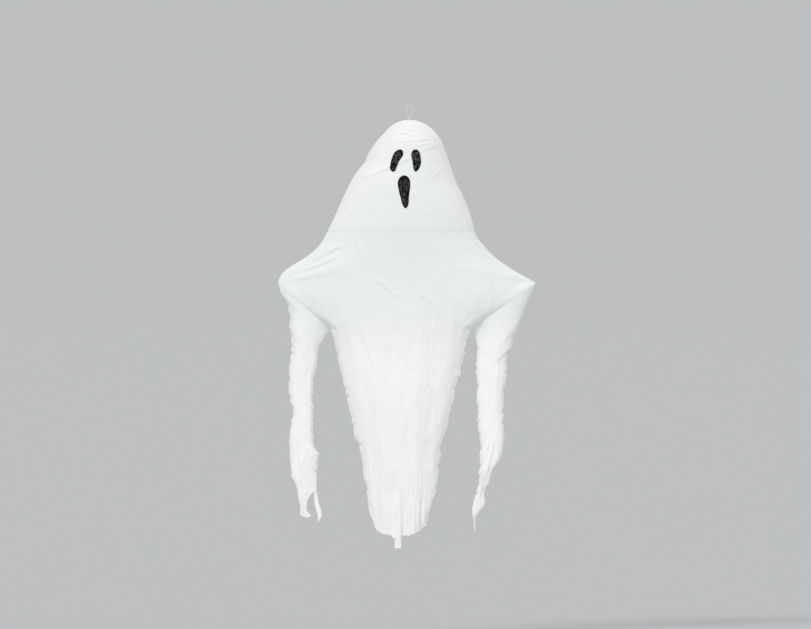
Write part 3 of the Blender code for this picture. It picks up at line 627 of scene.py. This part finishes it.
def lay_cloth(mesh, across, levels, wide, place):
    """Adds a grid of cloth to a bmesh, laid by place(column shares, levels), with its flat UVs.

    The UVs follow the width that is given, or without one the lines in which the cloth hangs.
    """
    made = bmesh.ops.create_grid(mesh, x_segments=across, y_segments=len(levels) - 1, size=1.0)
    verts = made["verts"]
    spots = np.array([vert.co for vert in verts])
    column = np.round((spots[:, 0] + 1) / 2 * across) / across
    row = np.round((spots[:, 1] + 1) / 2 * (len(levels) - 1)).astype(int)
    level = np.asarray(levels)[row]
    x, y, drop = place(column, level)
    hang = hang_line(x, drop) + 2 * np.sign(np.mean(y))
    flat = {vert: (u, v) for vert, u, v in zip(verts, column * wide if wide else hang, level)}
    layer = mesh.loops.layers.uv.verify()
    for face in {face for vert in verts for face in vert.link_faces}:
        for corner in face.loops:
            corner[layer].uv = flat[corner.vert]
    for vert, point in zip(verts, np.stack([x, y, CROWN_Z - drop], axis=1)):
        vert.co = point


def sew(mesh):
    """Joins the edges of cloth that lie on each other, as a seam does."""
    bmesh.ops.remove_doubles(mesh, verts=mesh.verts, dist=2e-5)
    bmesh.ops.recalc_face_normals(mesh, faces=mesh.faces)


def set_tone(mesh, name, value):
    """Stores a number from 0 to 1 at each point of a cloth, from value(drop)."""
    layer = mesh.verts.layers.float.new(name)
    drops = CROWN_Z - np.array([vert.co.z for vert in mesh.verts])
    for vert, number in zip(mesh.verts, value(drops)):
        vert[layer] = number


def thicken(piece, thickness):
    """Gives a cloth its thickness, half to each side."""
    shell = piece.modifiers.new("thickness", "SOLIDIFY")
    shell.thickness = thickness
    shell.offset = 0.0


def how_crinkled(drop):
    """Where the cloth is crinkled most: below the smooth chest, and most at the hem."""
    low = 0.08 + 0.60 * ease(SHOULDER_DROP - 0.05, SHOULDER_DROP + 0.15, drop)
    return np.clip(low + 0.35 * ease(1.60, 1.95, drop), 0.0, 1.0)


def how_much_shade_shows(drop):
    """How much painted shade greys the thin cloth: the shade behind it that shows through where it
    lies flat, less on the hood and none in the gathers.
    """
    on_hood = 1 - ease(HOOD_EDGE_DROP - 0.06, HOOD_EDGE_DROP, drop)
    return 1 - 0.35 * on_hood - ease(0.84, 1.25, drop)


# Thin white polyester cloth that was folded up small: matt, with crinkles that run lengthwise,
# about 24 mm apart on the flat cloth, and soft clouds of a greyer white. Where the cloth lies flat,
# it is painted a little greyer: painted shade, for the shade behind it that shows through.
CRINKLE_SPACING = 0.024
CRINKLE_LENGTH = 0.085
CRINKLE_HEIGHT = 0.0055
CLOUD_SIZE = 0.060
CLOUD_HEIGHT = 0.006
cloth_paint, cloth_tree, cloth_shader = new_material("crinkled_white_polyester_cloth")
flat_place = add_node(cloth_tree, "ShaderNodeUVMap", place=(-1600, 0))
lengthwise = add_node(
    cloth_tree, "ShaderNodeMapping", None,
    {"Vector": flat_place.outputs[0], "Scale": (1 / CRINKLE_SPACING, 1 / CRINKLE_LENGTH, 1)},
    (-1400, 0),
)
crinkles = add_node(
    cloth_tree, "ShaderNodeTexNoise", None,
    {
        "Vector": lengthwise.outputs[0], "Scale": 1.0, "Detail": 2.5, "Roughness": 0.50,
        "Distortion": 0.8,
    }, (-1200, 0),
)
cloud_place = add_node(cloth_tree, "ShaderNodeTexCoord", place=(-1600, -400))
clouds = add_node(
    cloth_tree, "ShaderNodeTexNoise", None,
    {
        "Vector": cloud_place.outputs["Object"], "Scale": 1 / CLOUD_SIZE, "Detail": 4.0,
        "Roughness": 0.6,
    }, (-1200, -400),
)
crinkled, see_through_shade = (
    add_node(cloth_tree, "ShaderNodeAttribute", {"attribute_name": name}, place=(-1200, high))
    for name, high in (("crinkled", 300), ("see_through_shade", 500))
)
crinkle_height = add_node(
    cloth_tree, "ShaderNodeMath", {"operation": "MULTIPLY"},
    {0: crinkles.outputs[0], 1: crinkled.outputs["Fac"]}, (-900, 0),
)
crinkle_bump = add_node(
    cloth_tree, "ShaderNodeBump", None,
    {"Height": crinkle_height.outputs[0], "Strength": 1.0, "Distance": CRINKLE_HEIGHT},
    (-600, -100),
)
cloud_bump = add_node(
    cloth_tree, "ShaderNodeBump", None,
    {
        "Height": clouds.outputs[0], "Strength": 0.7, "Distance": CLOUD_HEIGHT,
        "Normal": crinkle_bump.outputs[0],
    }, (-400, -200),
)
cloud_tone = add_node(
    cloth_tree, "ShaderNodeMix", {"data_type": "RGBA"},
    {"Factor": clouds.outputs[0], 6: linear("#FCFCFC"), 7: linear("#F5F6F6")}, (-700, 300),
)
# Painted shade: a greyer white where the shade behind the thin cloth shows through
cloth_tone_with_painted_shade = add_node(
    cloth_tree, "ShaderNodeMix", {"data_type": "RGBA"},
    {"Factor": see_through_shade.outputs["Fac"], 6: cloud_tone.outputs[2], 7: linear("#EEF0F0")}, (-400, 300),
)
set_inputs(cloth_tree, cloth_shader, {
    "Base Color": cloth_tone_with_painted_shade.outputs[2], "Normal": cloud_bump.outputs[0],
    "Roughness": 0.9, "Specular IOR Level": 0.2,
})


def make_cloth(name, mesh):
    """Sews one of the white cloths, marks its tones and gives it its material and thickness."""
    sew(mesh)
    set_tone(mesh, "crinkled", how_crinkled)
    # share of painted shade, for the shade that shows through the thin cloth
    set_tone(mesh, "see_through_shade", how_much_shade_shows)
    cloth = make_piece(name + "_cloth", mesh, cloth_paint, [name])
    thicken(cloth, SHEER)
    return cloth


EDGE_TUCK = LAP_EASE - SHEER - SEAT_GAP  # brings the edge down on to the body
PUCKER = 0.0010
EDGE_WAVE = 0.003  # up and down, along the stitched edge
HOLE_ANGLE = math.asin(CROWN_HOLE_RADIUS / DOME_RADIUS)
DOME_ANGLE = math.radians(80)  # of the rows that follow the ball
BELOW_DOME = 0.126
hood_mesh = bmesh.new()
hood_levels = [
    *(DOME_RADIUS * (1 - np.cos(np.linspace(HOLE_ANGLE, DOME_ANGLE, 46)))),
    *np.linspace(BELOW_DOME, HOOD_EDGE_DROP - LAP, 76),
    *np.linspace(HOOD_EDGE_DROP - LAP, HOOD_EDGE_DROP, 7)[1:],
]


def hood_place(side):
    """Lays the hood: as the drape, and puckered a little where its edge is stitched."""
    def place(column, level):
        x, y, drop = cloth_place(side, column, level, LAP_EASE)
        edge = ease(HOOD_EDGE_DROP - LAP, HOOD_EDGE_DROP, level) * np.sin(math.pi * column) ** 0.5
        folds = np.maximum(waves(x * 45 + 40, drop * 8, 21) - 0.2, 0.0)
        pucker = edge * (PUCKER * folds - EDGE_TUCK)
        drop = drop + EDGE_WAVE * edge * waves(x * 18 + 20, side, 22)
        return x, y + side * pucker, drop
    return place


for side, columns in ((-1, FRONT_COLUMNS), (1, BACK_COLUMNS)):
    lay_cloth(hood_mesh, columns, hood_levels, None, hood_place(side))
hood = make_cloth("hood", hood_mesh)


# Body: front and back of the same cloth, sewn along the shoulders and below the armholes, hung
# from the bent wire. The chest is smooth, the rest falls in crinkles that draw together to the
# torn hem.
ARMHOLE_ROWS = 32
HEM_STRIP = 0.060  # height of the torn strip along the hem
HEM_WAVES = (0.007, 0.006)
HEM_NOTCH = 0.022
BACK_SHORTER = 0.007
ARMHOLE = ARMPIT_DROP - SHOULDER_DROP
body_levels = [
    *np.linspace(HOOD_EDGE_DROP - LAP, HOOD_EDGE_DROP, 4),
    *np.linspace(HOOD_EDGE_DROP, SHOULDER_DROP, 42)[1:],
    *[
        SHOULDER_DROP + ARMHOLE * (1 - math.cos(math.pi * k / ARMHOLE_ROWS)) / 2
        for k in range(1, ARMHOLE_ROWS)
    ],
    *np.linspace(ARMPIT_DROP, HEM_SIDE_DROP, 118),
]


def body_place(side):
    """Lays the body: as the drape, with the torn edge of its hem."""
    def place(column, level):
        x, y, drop = cloth_place(side, column, level)
        torn = ease(HEM_SIDE_DROP - HEM_STRIP, HEM_SIDE_DROP, level)
        inside = 1 - np.abs(2 * column - 1) ** 6
        slow, quick = waves(column * 16, side, 31), waves(column * 45, side, 32)
        ragged = HEM_WAVES[0] * slow + HEM_WAVES[1] * quick
        notches = HEM_NOTCH * np.maximum(waves(column * 38, side, 33) - 0.40, 0.0)
        return x, y, drop + torn * inside * (ragged - notches - BACK_SHORTER * (side > 0))
    return place


body_mesh = bmesh.new()
for side, columns in ((-1, FRONT_COLUMNS), (1, BACK_COLUMNS)):
    lay_cloth(body_mesh, columns, body_levels, None, body_place(side))
body = make_cloth("body", body_mesh)


# Sleeves: two tubes of the same cloth, sewn into the armholes from shoulder corner to armpit. The
# left one is torn into a broad and a thin finger, the right one is twisted into a thin tail.
SLEEVE_FOLD = 0.0045
SLEEVE_CREASES = (0.0016, 0.0010)
SLEEVE_LIP = 0.009
SLEEVE_TEARS = (0.0036, 0.0040, 0.0105)
SLEEVE_TORN_STRIP = 0.020
SEAM_SHARE = 0.26  # of the sleeve's length, over which it leaves the depth of the armhole
SEAM_GAP = 0.0004
ARMPIT_GAP = 0.0012
LEFT_WRIST_DROP = 1.821
# Edges of the sleeves: (share of the sleeve's length, distance from the axis)
LEFT_OUTER = (
    (0.047, 0.631), (0.083, 0.606), (0.133, 0.592), (0.206, 0.588), (0.277, 0.577), (0.392, 0.589),
    (0.479, 0.596), (0.565, 0.586), (0.623, 0.573), (0.744, 0.587), (0.881, 0.585), (0.911, 0.583),
    (0.970, 0.558), (1.0, 0.549),
)
LEFT_INNER = (
    (0.055, 0.420), (0.142, 0.449), (0.246, 0.458), (0.375, 0.474), (0.591, 0.471), (0.696, 0.472),
    (0.739, 0.459), (0.788, 0.444), (0.881, 0.454), (1.0, 0.457),
)
RIGHT_WRIST_DROP = 1.942
RIGHT_OUTER = (
    (0.042, 0.598), (0.119, 0.562), (0.171, 0.543), (0.222, 0.513), (0.274, 0.498), (0.299, 0.479),
    (0.350, 0.480), (0.438, 0.472), (0.543, 0.462), (0.635, 0.465), (0.718, 0.456), (0.766, 0.438),
    (0.803, 0.409), (0.858, 0.391), (0.891, 0.374), (0.953, 0.368), (0.975, 0.350), (1.0, 0.330),
)
RIGHT_INNER = (
    (0.033, 0.322), (0.083, 0.330), (0.301, 0.330), (0.513, 0.336), (0.651, 0.347), (0.767, 0.342),
    (0.834, 0.336), (0.893, 0.323), (0.976, 0.307), (1.0, 0.309),
)
SLEEVE_DEPTH = (
    (0.0, 0.052), (0.20, 0.048), (0.55, 0.040), (0.75, 0.036), (0.90, 0.022), (1.0, 0.012),
)
WRIST_MIDDLE = 0.503  # of the left wrist, from the axis
WRIST_HALF = 0.046  # half the width of the left wrist
# The torn fingers, by share of their length: distance of the outer and inner edge from the axis
SPLIT = 0.75  # share of the way across the wrist that goes to the broad finger
BROAD_LENGTH = (0.112, 0.121)
BROAD_OUTER = ((0.0, 0.549), (0.25, 0.547), (0.5, 0.541), (0.75, 0.536), (1.0, 0.539))
BROAD_INNER = (
    (0.0, 0.4705), (0.25, 0.493), (0.5, 0.504), (0.75, 0.505), (0.88, 0.496), (1.0, 0.483),
)
BROAD_BOW = 0.048  # a quarter of it is how far the middle of the broad end hangs below its corners
THIN_LENGTH = (0.181, 0.175)
THIN_OUTER = (
    (0.0, 0.4678), (0.17, 0.4686), (0.34, 0.4671), (0.5, 0.4588), (0.66, 0.4515), (0.8, 0.450),
    (0.92, 0.4622), (1.0, 0.4725),
)
THIN_INNER = (
    (0.0, 0.457), (0.17, 0.449), (0.34, 0.4451), (0.5, 0.4353), (0.66, 0.4303), (0.8, 0.4392),
    (0.92, 0.4549), (1.0, 0.4696),
)
FINGER_FLATTER = 0.45
RIGHT_TAIL = 0.072
TAIL_DRAWN = 0.5  # share of the tail over which the cloth draws together
TAIL_HALF_WIDTH = 0.0045
TAIL_HALF_DEPTH = 0.0035
TORN_ROWS = 36
SLEEVE_ROWS = 190
SLEEVE_CLOTH_WIDTH = 0.30
LEFT_FOLDS = (
    ((-0.560, 1.05), (-0.545, 1.35), 0.010, 0.004), ((-0.525, 1.20), (-0.510, 1.62), 0.012, 0.004),
    ((-0.570, 1.50), (-0.520, 1.78), 0.010, 0.005), ((-0.480, 1.58), (-0.545, 1.72), 0.012, 0.005),
)
RIGHT_FOLDS = (
    ((0.440, 1.05), (0.420, 1.45), 0.012, 0.004), ((0.380, 1.00), (0.370, 1.40), 0.010, 0.004),
    ((0.430, 1.50), (0.365, 1.80), 0.008, 0.006), ((0.400, 1.52), (0.350, 1.82), 0.007, 0.005),
    ((0.375, 1.60), (0.340, 1.90), 0.006, 0.005),
)


def sleeve_edges(share, left, wrist_drop):
    """Outer and inner edge of a sleeve at a share of its length: (x, drop) of each."""
    sign = -1 if left else 1
    outer = ((0.0, CORNER_LEFT), *LEFT_OUTER) if left else ((0.0, CORNER_RIGHT), *RIGHT_OUTER)
    inner = ((0.0, ARMPIT_LEFT), *LEFT_INNER) if left else ((0.0, ARMPIT_RIGHT), *RIGHT_INNER)
    outer_x, inner_x = sign * curve(outer, share), sign * curve(inner, share)
    outer_drop = SHOULDER_DROP + (wrist_drop - SHOULDER_DROP) * share
    inner_drop = ARMPIT_DROP + (wrist_drop - ARMPIT_DROP) * share
    return outer_x, outer_drop, inner_x, inner_drop


def sleeve_tube(around, share, left, wrist_drop):
    """Points of a sleeve: around is 0 at its outer edge, and the front comes before the back."""
    turn = 2 * math.pi * around
    front, cosine = np.sin(turn), np.cos(turn)
    side = np.where(front > 0, -1, 1)
    outer_x, outer_drop, inner_x, inner_drop = sleeve_edges(share, left, wrist_drop)
    x = (outer_x + inner_x) / 2 + (outer_x - inner_x) / 2 * cosine
    row = np.where(cosine > 0, 41, 43)
    ragged = tears(share, row, (21, 53, 10, 60), (41, 45, 47, 46), 0.30, SLEEVE_TEARS)
    torn = ease(0.06, 0.12, share) * (1 - ease(0.9, 1.0, share))
    inset = np.abs(outer_x - inner_x) / 2 * (1 - np.abs(cosine))
    edge = 1 - ease(0.0, SLEEVE_TORN_STRIP, inset)
    outwards = np.sign(x) * np.sign(cosine)
    x = x + torn * edge * outwards * ragged
    drop = (outer_drop + inner_drop) / 2 + (outer_drop - inner_drop) / 2 * cosine
    depth = -curve(SLEEVE_DEPTH, share) * front
    fold = SLEEVE_FOLD * ease(0.0, 0.2, share) * (1 - ease(0.8, 1.0, share))
    depth = depth + fold * np.sin(3 * turn + 5 * share) * front**2
    folds = LEFT_FOLDS if left else RIGHT_FOLDS
    lines = sum(fold_line(x, drop, *line) for line in folds)
    small = SLEEVE_CREASES[0] * waves(around * 22, share * 14, 43)
    small = small + SLEEVE_CREASES[1] * waves(around * 50, share * 24, 44)
    depth = depth + side * (lines + small) * ease(0.0, 0.15, share) * front**2
    lip = 1 - ease(0.0, SLEEVE_LIP, inset)
    lip = lip * ease(0.04, 0.12, share) * (1 - ease(0.80, 0.92, share))
    depth = depth * (1 - lip) + side * LIP_DEPTH * lip * (np.abs(front) > 1e-6)
    seam = 1 - ease(0.0, SEAM_SHARE, share)
    top_x, top_drop, low_x, low_drop = (
        float(v) for v in sleeve_edges(np.array(0.0), left, wrist_drop)
    )
    edge_x = (top_x + low_x) / 2 + (top_x - low_x) / 2 * cosine
    edge_drop = (top_drop + low_drop) / 2 + (top_drop - low_drop) / 2 * cosine
    at_seam = np.where(np.abs(front) < 1e-6, 0.0, cloth_depth(side, edge_x, edge_drop, edge_drop))
    depth = depth * (1 - seam) + at_seam * seam
    gap = (SEAM_GAP + (ARMPIT_GAP - SEAM_GAP) * ((1 - cosine) / 2) ** 4) * seam
    run_x, run_drop = low_x - top_x, low_drop - top_drop
    length, sign = math.hypot(run_x, run_drop), (-1 if left else 1)
    return x + gap * sign * run_drop / length, depth, drop - gap * sign * run_x / length


def left_sleeve_place(column, share):
    """Lays the left sleeve, and its two fingers beyond the wrist."""
    x, y, drop = sleeve_tube(column, np.minimum(share, 1.0), True, LEFT_WRIST_DROP)
    torn = np.maximum(share - 1.0, 0.0)
    half = np.minimum(column, 1 - column) * 2
    wrist = -(WRIST_MIDDLE + WRIST_HALF * np.cos(math.pi * half))
    wrist_split = -(WRIST_MIDDLE + WRIST_HALF * math.cos(math.pi * SPLIT))
    broad = half <= SPLIT + 0.001
    broad_outer, thin_outer, thin_inner = BROAD_OUTER[0][1], THIN_OUTER[0][1], THIN_INNER[0][1]
    r_broad = (wrist + broad_outer) / (wrist_split + broad_outer)
    r_thin = np.clip((wrist + thin_outer) / (thin_outer - thin_inner), 0.0, 1.0)
    x_broad = -(curve(BROAD_OUTER, torn) * (1 - r_broad) + curve(BROAD_INNER, torn) * r_broad)
    x_thin = -(curve(THIN_OUTER, torn) * (1 - r_thin) + curve(THIN_INNER, torn) * r_thin)
    long_broad = BROAD_LENGTH[0] + (BROAD_LENGTH[1] - BROAD_LENGTH[0]) * r_broad
    long_broad = long_broad + BROAD_BOW * r_broad * (1 - r_broad)
    long_thin = THIN_LENGTH[0] + (THIN_LENGTH[1] - THIN_LENGTH[0]) * r_thin
    x = np.where(torn > 0, np.where(broad, x_broad, x_thin), x)
    y = y * (1 - FINGER_FLATTER * torn)
    return x, y, drop + np.where(broad, long_broad, long_thin) * torn


def right_sleeve_place(column, share):
    """Lays the right sleeve, and its tail beyond the wrist."""
    x, y, drop = sleeve_tube(column, np.minimum(share, 1.0), False, RIGHT_WRIST_DROP)
    torn = np.maximum(share - 1.0, 0.0)
    turn = 2 * math.pi * column
    tail_x = (RIGHT_OUTER[-1][1] + RIGHT_INNER[-1][1]) / 2 + TAIL_HALF_WIDTH * np.cos(turn)
    tail_y = -TAIL_HALF_DEPTH * np.sin(turn)
    share_tail = ease(0.0, TAIL_DRAWN, torn)
    x, y = x + (tail_x - x) * share_tail, y + (tail_y - y) * share_tail
    return x, y, drop + RIGHT_TAIL * torn


def in_notch(face, layer):
    """True for a face between the two fingers."""
    middle = sum((corner[layer].uv for corner in face.loops), Vector((0, 0))) / len(face.loops)
    half = min(middle.x, SLEEVE_CLOTH_WIDTH - middle.x) * 2 / SLEEVE_CLOTH_WIDTH
    return middle.y > 1.0 and SPLIT < half < SPLIT + 1 / ARMHOLE_ROWS


sleeve_shares = [*np.linspace(0.0, 1.0, SLEEVE_ROWS), *(1 + np.linspace(0.0, 1.0, TORN_ROWS)[1:])]
for name, place, left in (
    ("left_sleeve", left_sleeve_place, True), ("right_sleeve", right_sleeve_place, False)
):
    sleeve_mesh = bmesh.new()
    lay_cloth(sleeve_mesh, 2 * ARMHOLE_ROWS, sleeve_shares, SLEEVE_CLOTH_WIDTH, place)
    if left:
        flat_layer = sleeve_mesh.loops.layers.uv.verify()
        notch = [face for face in sleeve_mesh.faces if in_notch(face, flat_layer)]
        bmesh.ops.delete(sleeve_mesh, geom=notch, context="FACES")
    sleeve = make_cloth(name, sleeve_mesh)


# Eyes and mouth: three patches of black cloth, cut out and stuck on the front of the hood. They
# crinkle with it, and a grey sheen is painted on their crinkles.
PATCH = 0.0008  # thickness of a patch
PATCH_GAP = 0.0010
BLACK_CRINKLES = (0.006, 0.020, 0.016)  # across, into the cloth and along
BLACK_SLANT = 35  # degrees
BLACK_CRINKLE_HEIGHT = 0.002
# Each outline: drops of its top and bottom, then (share of the way down, middle, half width)
LEFT_EYE = (0.1462, 0.2557, (
    (0.0, -0.0465, 0.0310), (0.16, -0.0530, 0.0300), (0.28, -0.0572, 0.0268),
    (0.39, -0.0633, 0.0232), (0.5, -0.0695, 0.0204), (0.61, -0.0737, 0.0187),
    (0.73, -0.0776, 0.0192), (0.82, -0.0798, 0.0206), (1.0, -0.0800, 0.0230),
))
RIGHT_EYE = (0.1462, 0.2542, (
    (0.0, 0.0300, 0.0300), (0.17, 0.0301, 0.0272), (0.26, 0.0304, 0.0252), (0.35, 0.0329, 0.0226),
    (0.46, 0.0345, 0.0214), (0.58, 0.0358, 0.0209), (0.69, 0.0356, 0.0204), (0.78, 0.0348, 0.0202),
    (0.87, 0.0333, 0.0200), (1.0, 0.0305, 0.0200),
))
MOUTH = (0.2735, 0.4348, (
    (0.0, -0.0255, 0.0440), (0.11, -0.0262, 0.0412), (0.25, -0.0270, 0.0351),
    (0.40, -0.0258, 0.0288), (0.56, -0.0250, 0.0237), (0.71, -0.0226, 0.0211),
    (0.86, -0.0204, 0.0223), (0.93, -0.0196, 0.0209), (1.0, -0.0197, 0.0170),
))


def lay_patch(top, bottom, outline):
    """A patch of that outline on the front of the hood."""
    mesh = bmesh.new()
    layer = mesh.verts.layers.float.new("inner")
    made = bmesh.ops.create_grid(mesh, x_segments=24, y_segments=48, size=1.0)
    spots = np.array([vert.co for vert in made["verts"]])
    u, v = spots[:, 0], -spots[:, 1]
    across, along = u * np.sqrt(1 - v * v / 2), v * np.sqrt(1 - u * u / 2)
    share = (1 + along) / 2
    middle = curve([(p[0], p[1]) for p in outline], share)
    half = curve([(p[0], p[2]) for p in outline], share)
    x, drop = middle + across * half, top + (bottom - top) * share
    y = cloth_depth(-1, x, drop, drop, LAP_EASE) - CLOTH / 2 - PATCH_GAP
    # Share by which the painted sheen shows: it dies out towards the rim
    inner = 1 - ease(0.70, 0.96, np.maximum(np.abs(u), np.abs(v)))
    for vert, point, number in zip(made["verts"], np.stack([x, y, CROWN_Z - drop], axis=1), inner):
        vert.co = point
        vert[layer] = number
    bmesh.ops.recalc_face_normals(mesh, faces=mesh.faces)
    return mesh


# Crinkled black polyester cloth with slanting crinkles about 6 mm apart. A painted highlight greys
# their crests in the middle of a patch, and its rim stays dark.
black_paint, black_tree, black_shader = new_material("crinkled_black_polyester_cloth")
black_place = add_node(black_tree, "ShaderNodeTexCoord", place=(-1400, 0))
slanting = add_node(
    black_tree, "ShaderNodeMapping", None,
    {
        "Vector": black_place.outputs["Object"], "Rotation": (0, math.radians(BLACK_SLANT), 0),
        "Scale": tuple(1 / size for size in BLACK_CRINKLES),
    }, (-1200, 0),
)
black_crinkles = add_node(
    black_tree, "ShaderNodeTexNoise", None,
    {
        "Vector": slanting.outputs[0], "Scale": 1.0, "Detail": 3.0, "Roughness": 0.6,
        "Distortion": 0.6,
    }, (-1000, 0),
)
# Painted highlights: grey on the crests of the crinkles, as a sheen would light them
black_painted_highlights = add_node(
    black_tree, "ShaderNodeMapRange", None,
    {"Value": black_crinkles.outputs[0], "From Min": 0.48, "From Max": 0.78}, (-850, 300),
)
black_inner = add_node(
    black_tree, "ShaderNodeAttribute", {"attribute_name": "inner"}, place=(-850, 500),
)
# Painted sheen, kept off the rim of the patch
black_painted_sheen = add_node(
    black_tree, "ShaderNodeMath", {"operation": "MULTIPLY"},
    {0: black_painted_highlights.outputs[0], 1: black_inner.outputs["Fac"]}, (-650, 300),
)
black_tone = add_node(
    black_tree, "ShaderNodeMix", {"data_type": "RGBA"},
    {"Factor": black_painted_sheen.outputs[0], 6: linear("#030304"), 7: linear("#77777B")}, (-450, 200),
)
black_bump = add_node(
    black_tree, "ShaderNodeBump", None,
    {"Height": black_crinkles.outputs[0], "Strength": 0.6, "Distance": BLACK_CRINKLE_HEIGHT},
    (-600, -200),
)
set_inputs(black_tree, black_shader, {
    "Base Color": black_tone.outputs[2], "Normal": black_bump.outputs[0],
    "Roughness": 0.70, "Specular IOR Level": 0.10,
})

for name, outline, flat, area in (
    ("left_eye", LEFT_EYE, (0.055, 0.115), 0.0044),
    ("right_eye", RIGHT_EYE, (0.050, 0.110), 0.0042),
    ("mouth", MOUTH, (0.065, 0.165), 0.0078),
):
    patch = make_piece(name + "_patch", lay_patch(*outline), black_paint, [name])
    thicken(patch, PATCH)


# Head ball: a ball of light white foam with a bore for the cord, moulded from beads. It hangs on
# the cord under the crown and rounds out the hood. Its solid is kept and gets only its material.
BEAD_SIZE = 0.004
BEAD_DEPTH = 0.001
# White bead foam, moulded from beads that swell and press together: matt, with small round cells.
foam_paint, foam_tree, foam_shader = new_material("white_bead_foam")
foam_place = add_node(foam_tree, "ShaderNodeTexCoord", place=(-1000, 0))
beads = add_node(
    foam_tree, "ShaderNodeTexVoronoi", None,
    {"Vector": foam_place.outputs["Object"], "Scale": 1 / BEAD_SIZE}, (-800, 0),
)
foam_bump = add_node(
    foam_tree, "ShaderNodeBump", {"invert": True},
    {"Height": beads.outputs["Distance"], "Strength": 0.4, "Distance": BEAD_DEPTH}, (-500, -200),
)
foam_tone = add_node(
    foam_tree, "ShaderNodeMix", {"data_type": "RGBA"},
    {"Factor": beads.outputs["Distance"], 6: linear("#EFEFED"), 7: linear("#D9D9D6")}, (-500, 100),
)
set_inputs(foam_tree, foam_shader, {
    "Base Color": foam_tone.outputs[2], "Normal": foam_bump.outputs[0], "Roughness": 0.8,
})


# Shoulder wire: one length of steel wire bent by hand, with a curl at each end. It hangs in the
# hitches of the cord under the ball and holds the shoulders of the cloth out.
DRAW_GRAIN = 0.002
# Drawn steel wire: bright and a little blurred, with faint marks of the die in two greys. The marks
# are drawn coarser than real ones, which would not show.
wire_paint, wire_tree, wire_shader = new_material("drawn_steel_wire")
wire_place = add_node(wire_tree, "ShaderNodeTexCoord", place=(-1000, 0))
drawing = add_node(
    wire_tree, "ShaderNodeTexNoise", None,
    {"Vector": wire_place.outputs["Object"], "Scale": 1 / DRAW_GRAIN, "Detail": 4.0}, (-800, 0),
)
wire_tone = add_node(
    wire_tree, "ShaderNodeMix", {"data_type": "RGBA"},
    {"Factor": drawing.outputs[0], 6: linear("#8E8F92"), 7: linear("#B4B5B8")}, (-500, 100),
)
set_inputs(wire_tree, wire_shader, {
    "Base Color": wire_tone.outputs[2], "Metallic": 1.0, "Roughness": 0.32,
})
for name, paint in (("head_ball", foam_paint), ("shoulder_wire", wire_paint)):
    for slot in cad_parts[name].material_slots:
        slot.material = paint


# Label: a bare strip of smooth white tape, cut off straight and sewn inside the front hem, so that
# it hangs below it in a slight wave.
TAPE_THICKNESS = 0.0006
TAPE_WAVE = 0.002
TAPE_RIBS = 0.004
tape_low, tape_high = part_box("label")
label_mesh = bmesh.new()
made = bmesh.ops.create_grid(label_mesh, x_segments=8, y_segments=20, size=0.5)
for vert in made["verts"]:
    u, v = vert.co.x + 0.5, vert.co.y + 0.5
    middle = (tape_low.y + tape_high.y) / 2
    vert.co = (
        tape_low.x + (tape_high.x - tape_low.x) * u,
        middle + TAPE_WAVE * math.sin(2 * math.pi * v + u),
        tape_low.z + (tape_high.z - tape_low.z) * v,
    )
bmesh.ops.recalc_face_normals(label_mesh, faces=label_mesh.faces)
# Smooth white polyester tape: a soft gloss over faint woven ribs, which are drawn coarser than the
# real ones, because those would not show.
tape_paint, tape_tree, tape_shader = new_material("smooth_white_label_tape")
tape_place = add_node(tape_tree, "ShaderNodeTexCoord", place=(-1000, 0))
tape_weave = add_node(
    tape_tree, "ShaderNodeTexWave", None,
    {"Vector": tape_place.outputs["Object"], "Scale": 1 / TAPE_RIBS, "Distortion": 0.3}, (-800, 0),
)
tape_bump = add_node(
    tape_tree, "ShaderNodeBump", None,
    {"Height": tape_weave.outputs["Fac"], "Strength": 0.2, "Distance": 0.0003}, (-500, -200),
)
tape_tone = add_node(
    tape_tree, "ShaderNodeMix", {"data_type": "RGBA"},
    {"Factor": tape_weave.outputs["Fac"], 6: linear("#F1F2F2"), 7: linear("#F7F8F8")}, (-500, 100),
)
set_inputs(tape_tree, tape_shader, {
    "Base Color": tape_tone.outputs[2], "Normal": tape_bump.outputs[0], "Roughness": 0.6,
})
label = make_piece("label_tape", label_mesh, tape_paint, ["label"])
thicken(label, TAPE_THICKNESS)
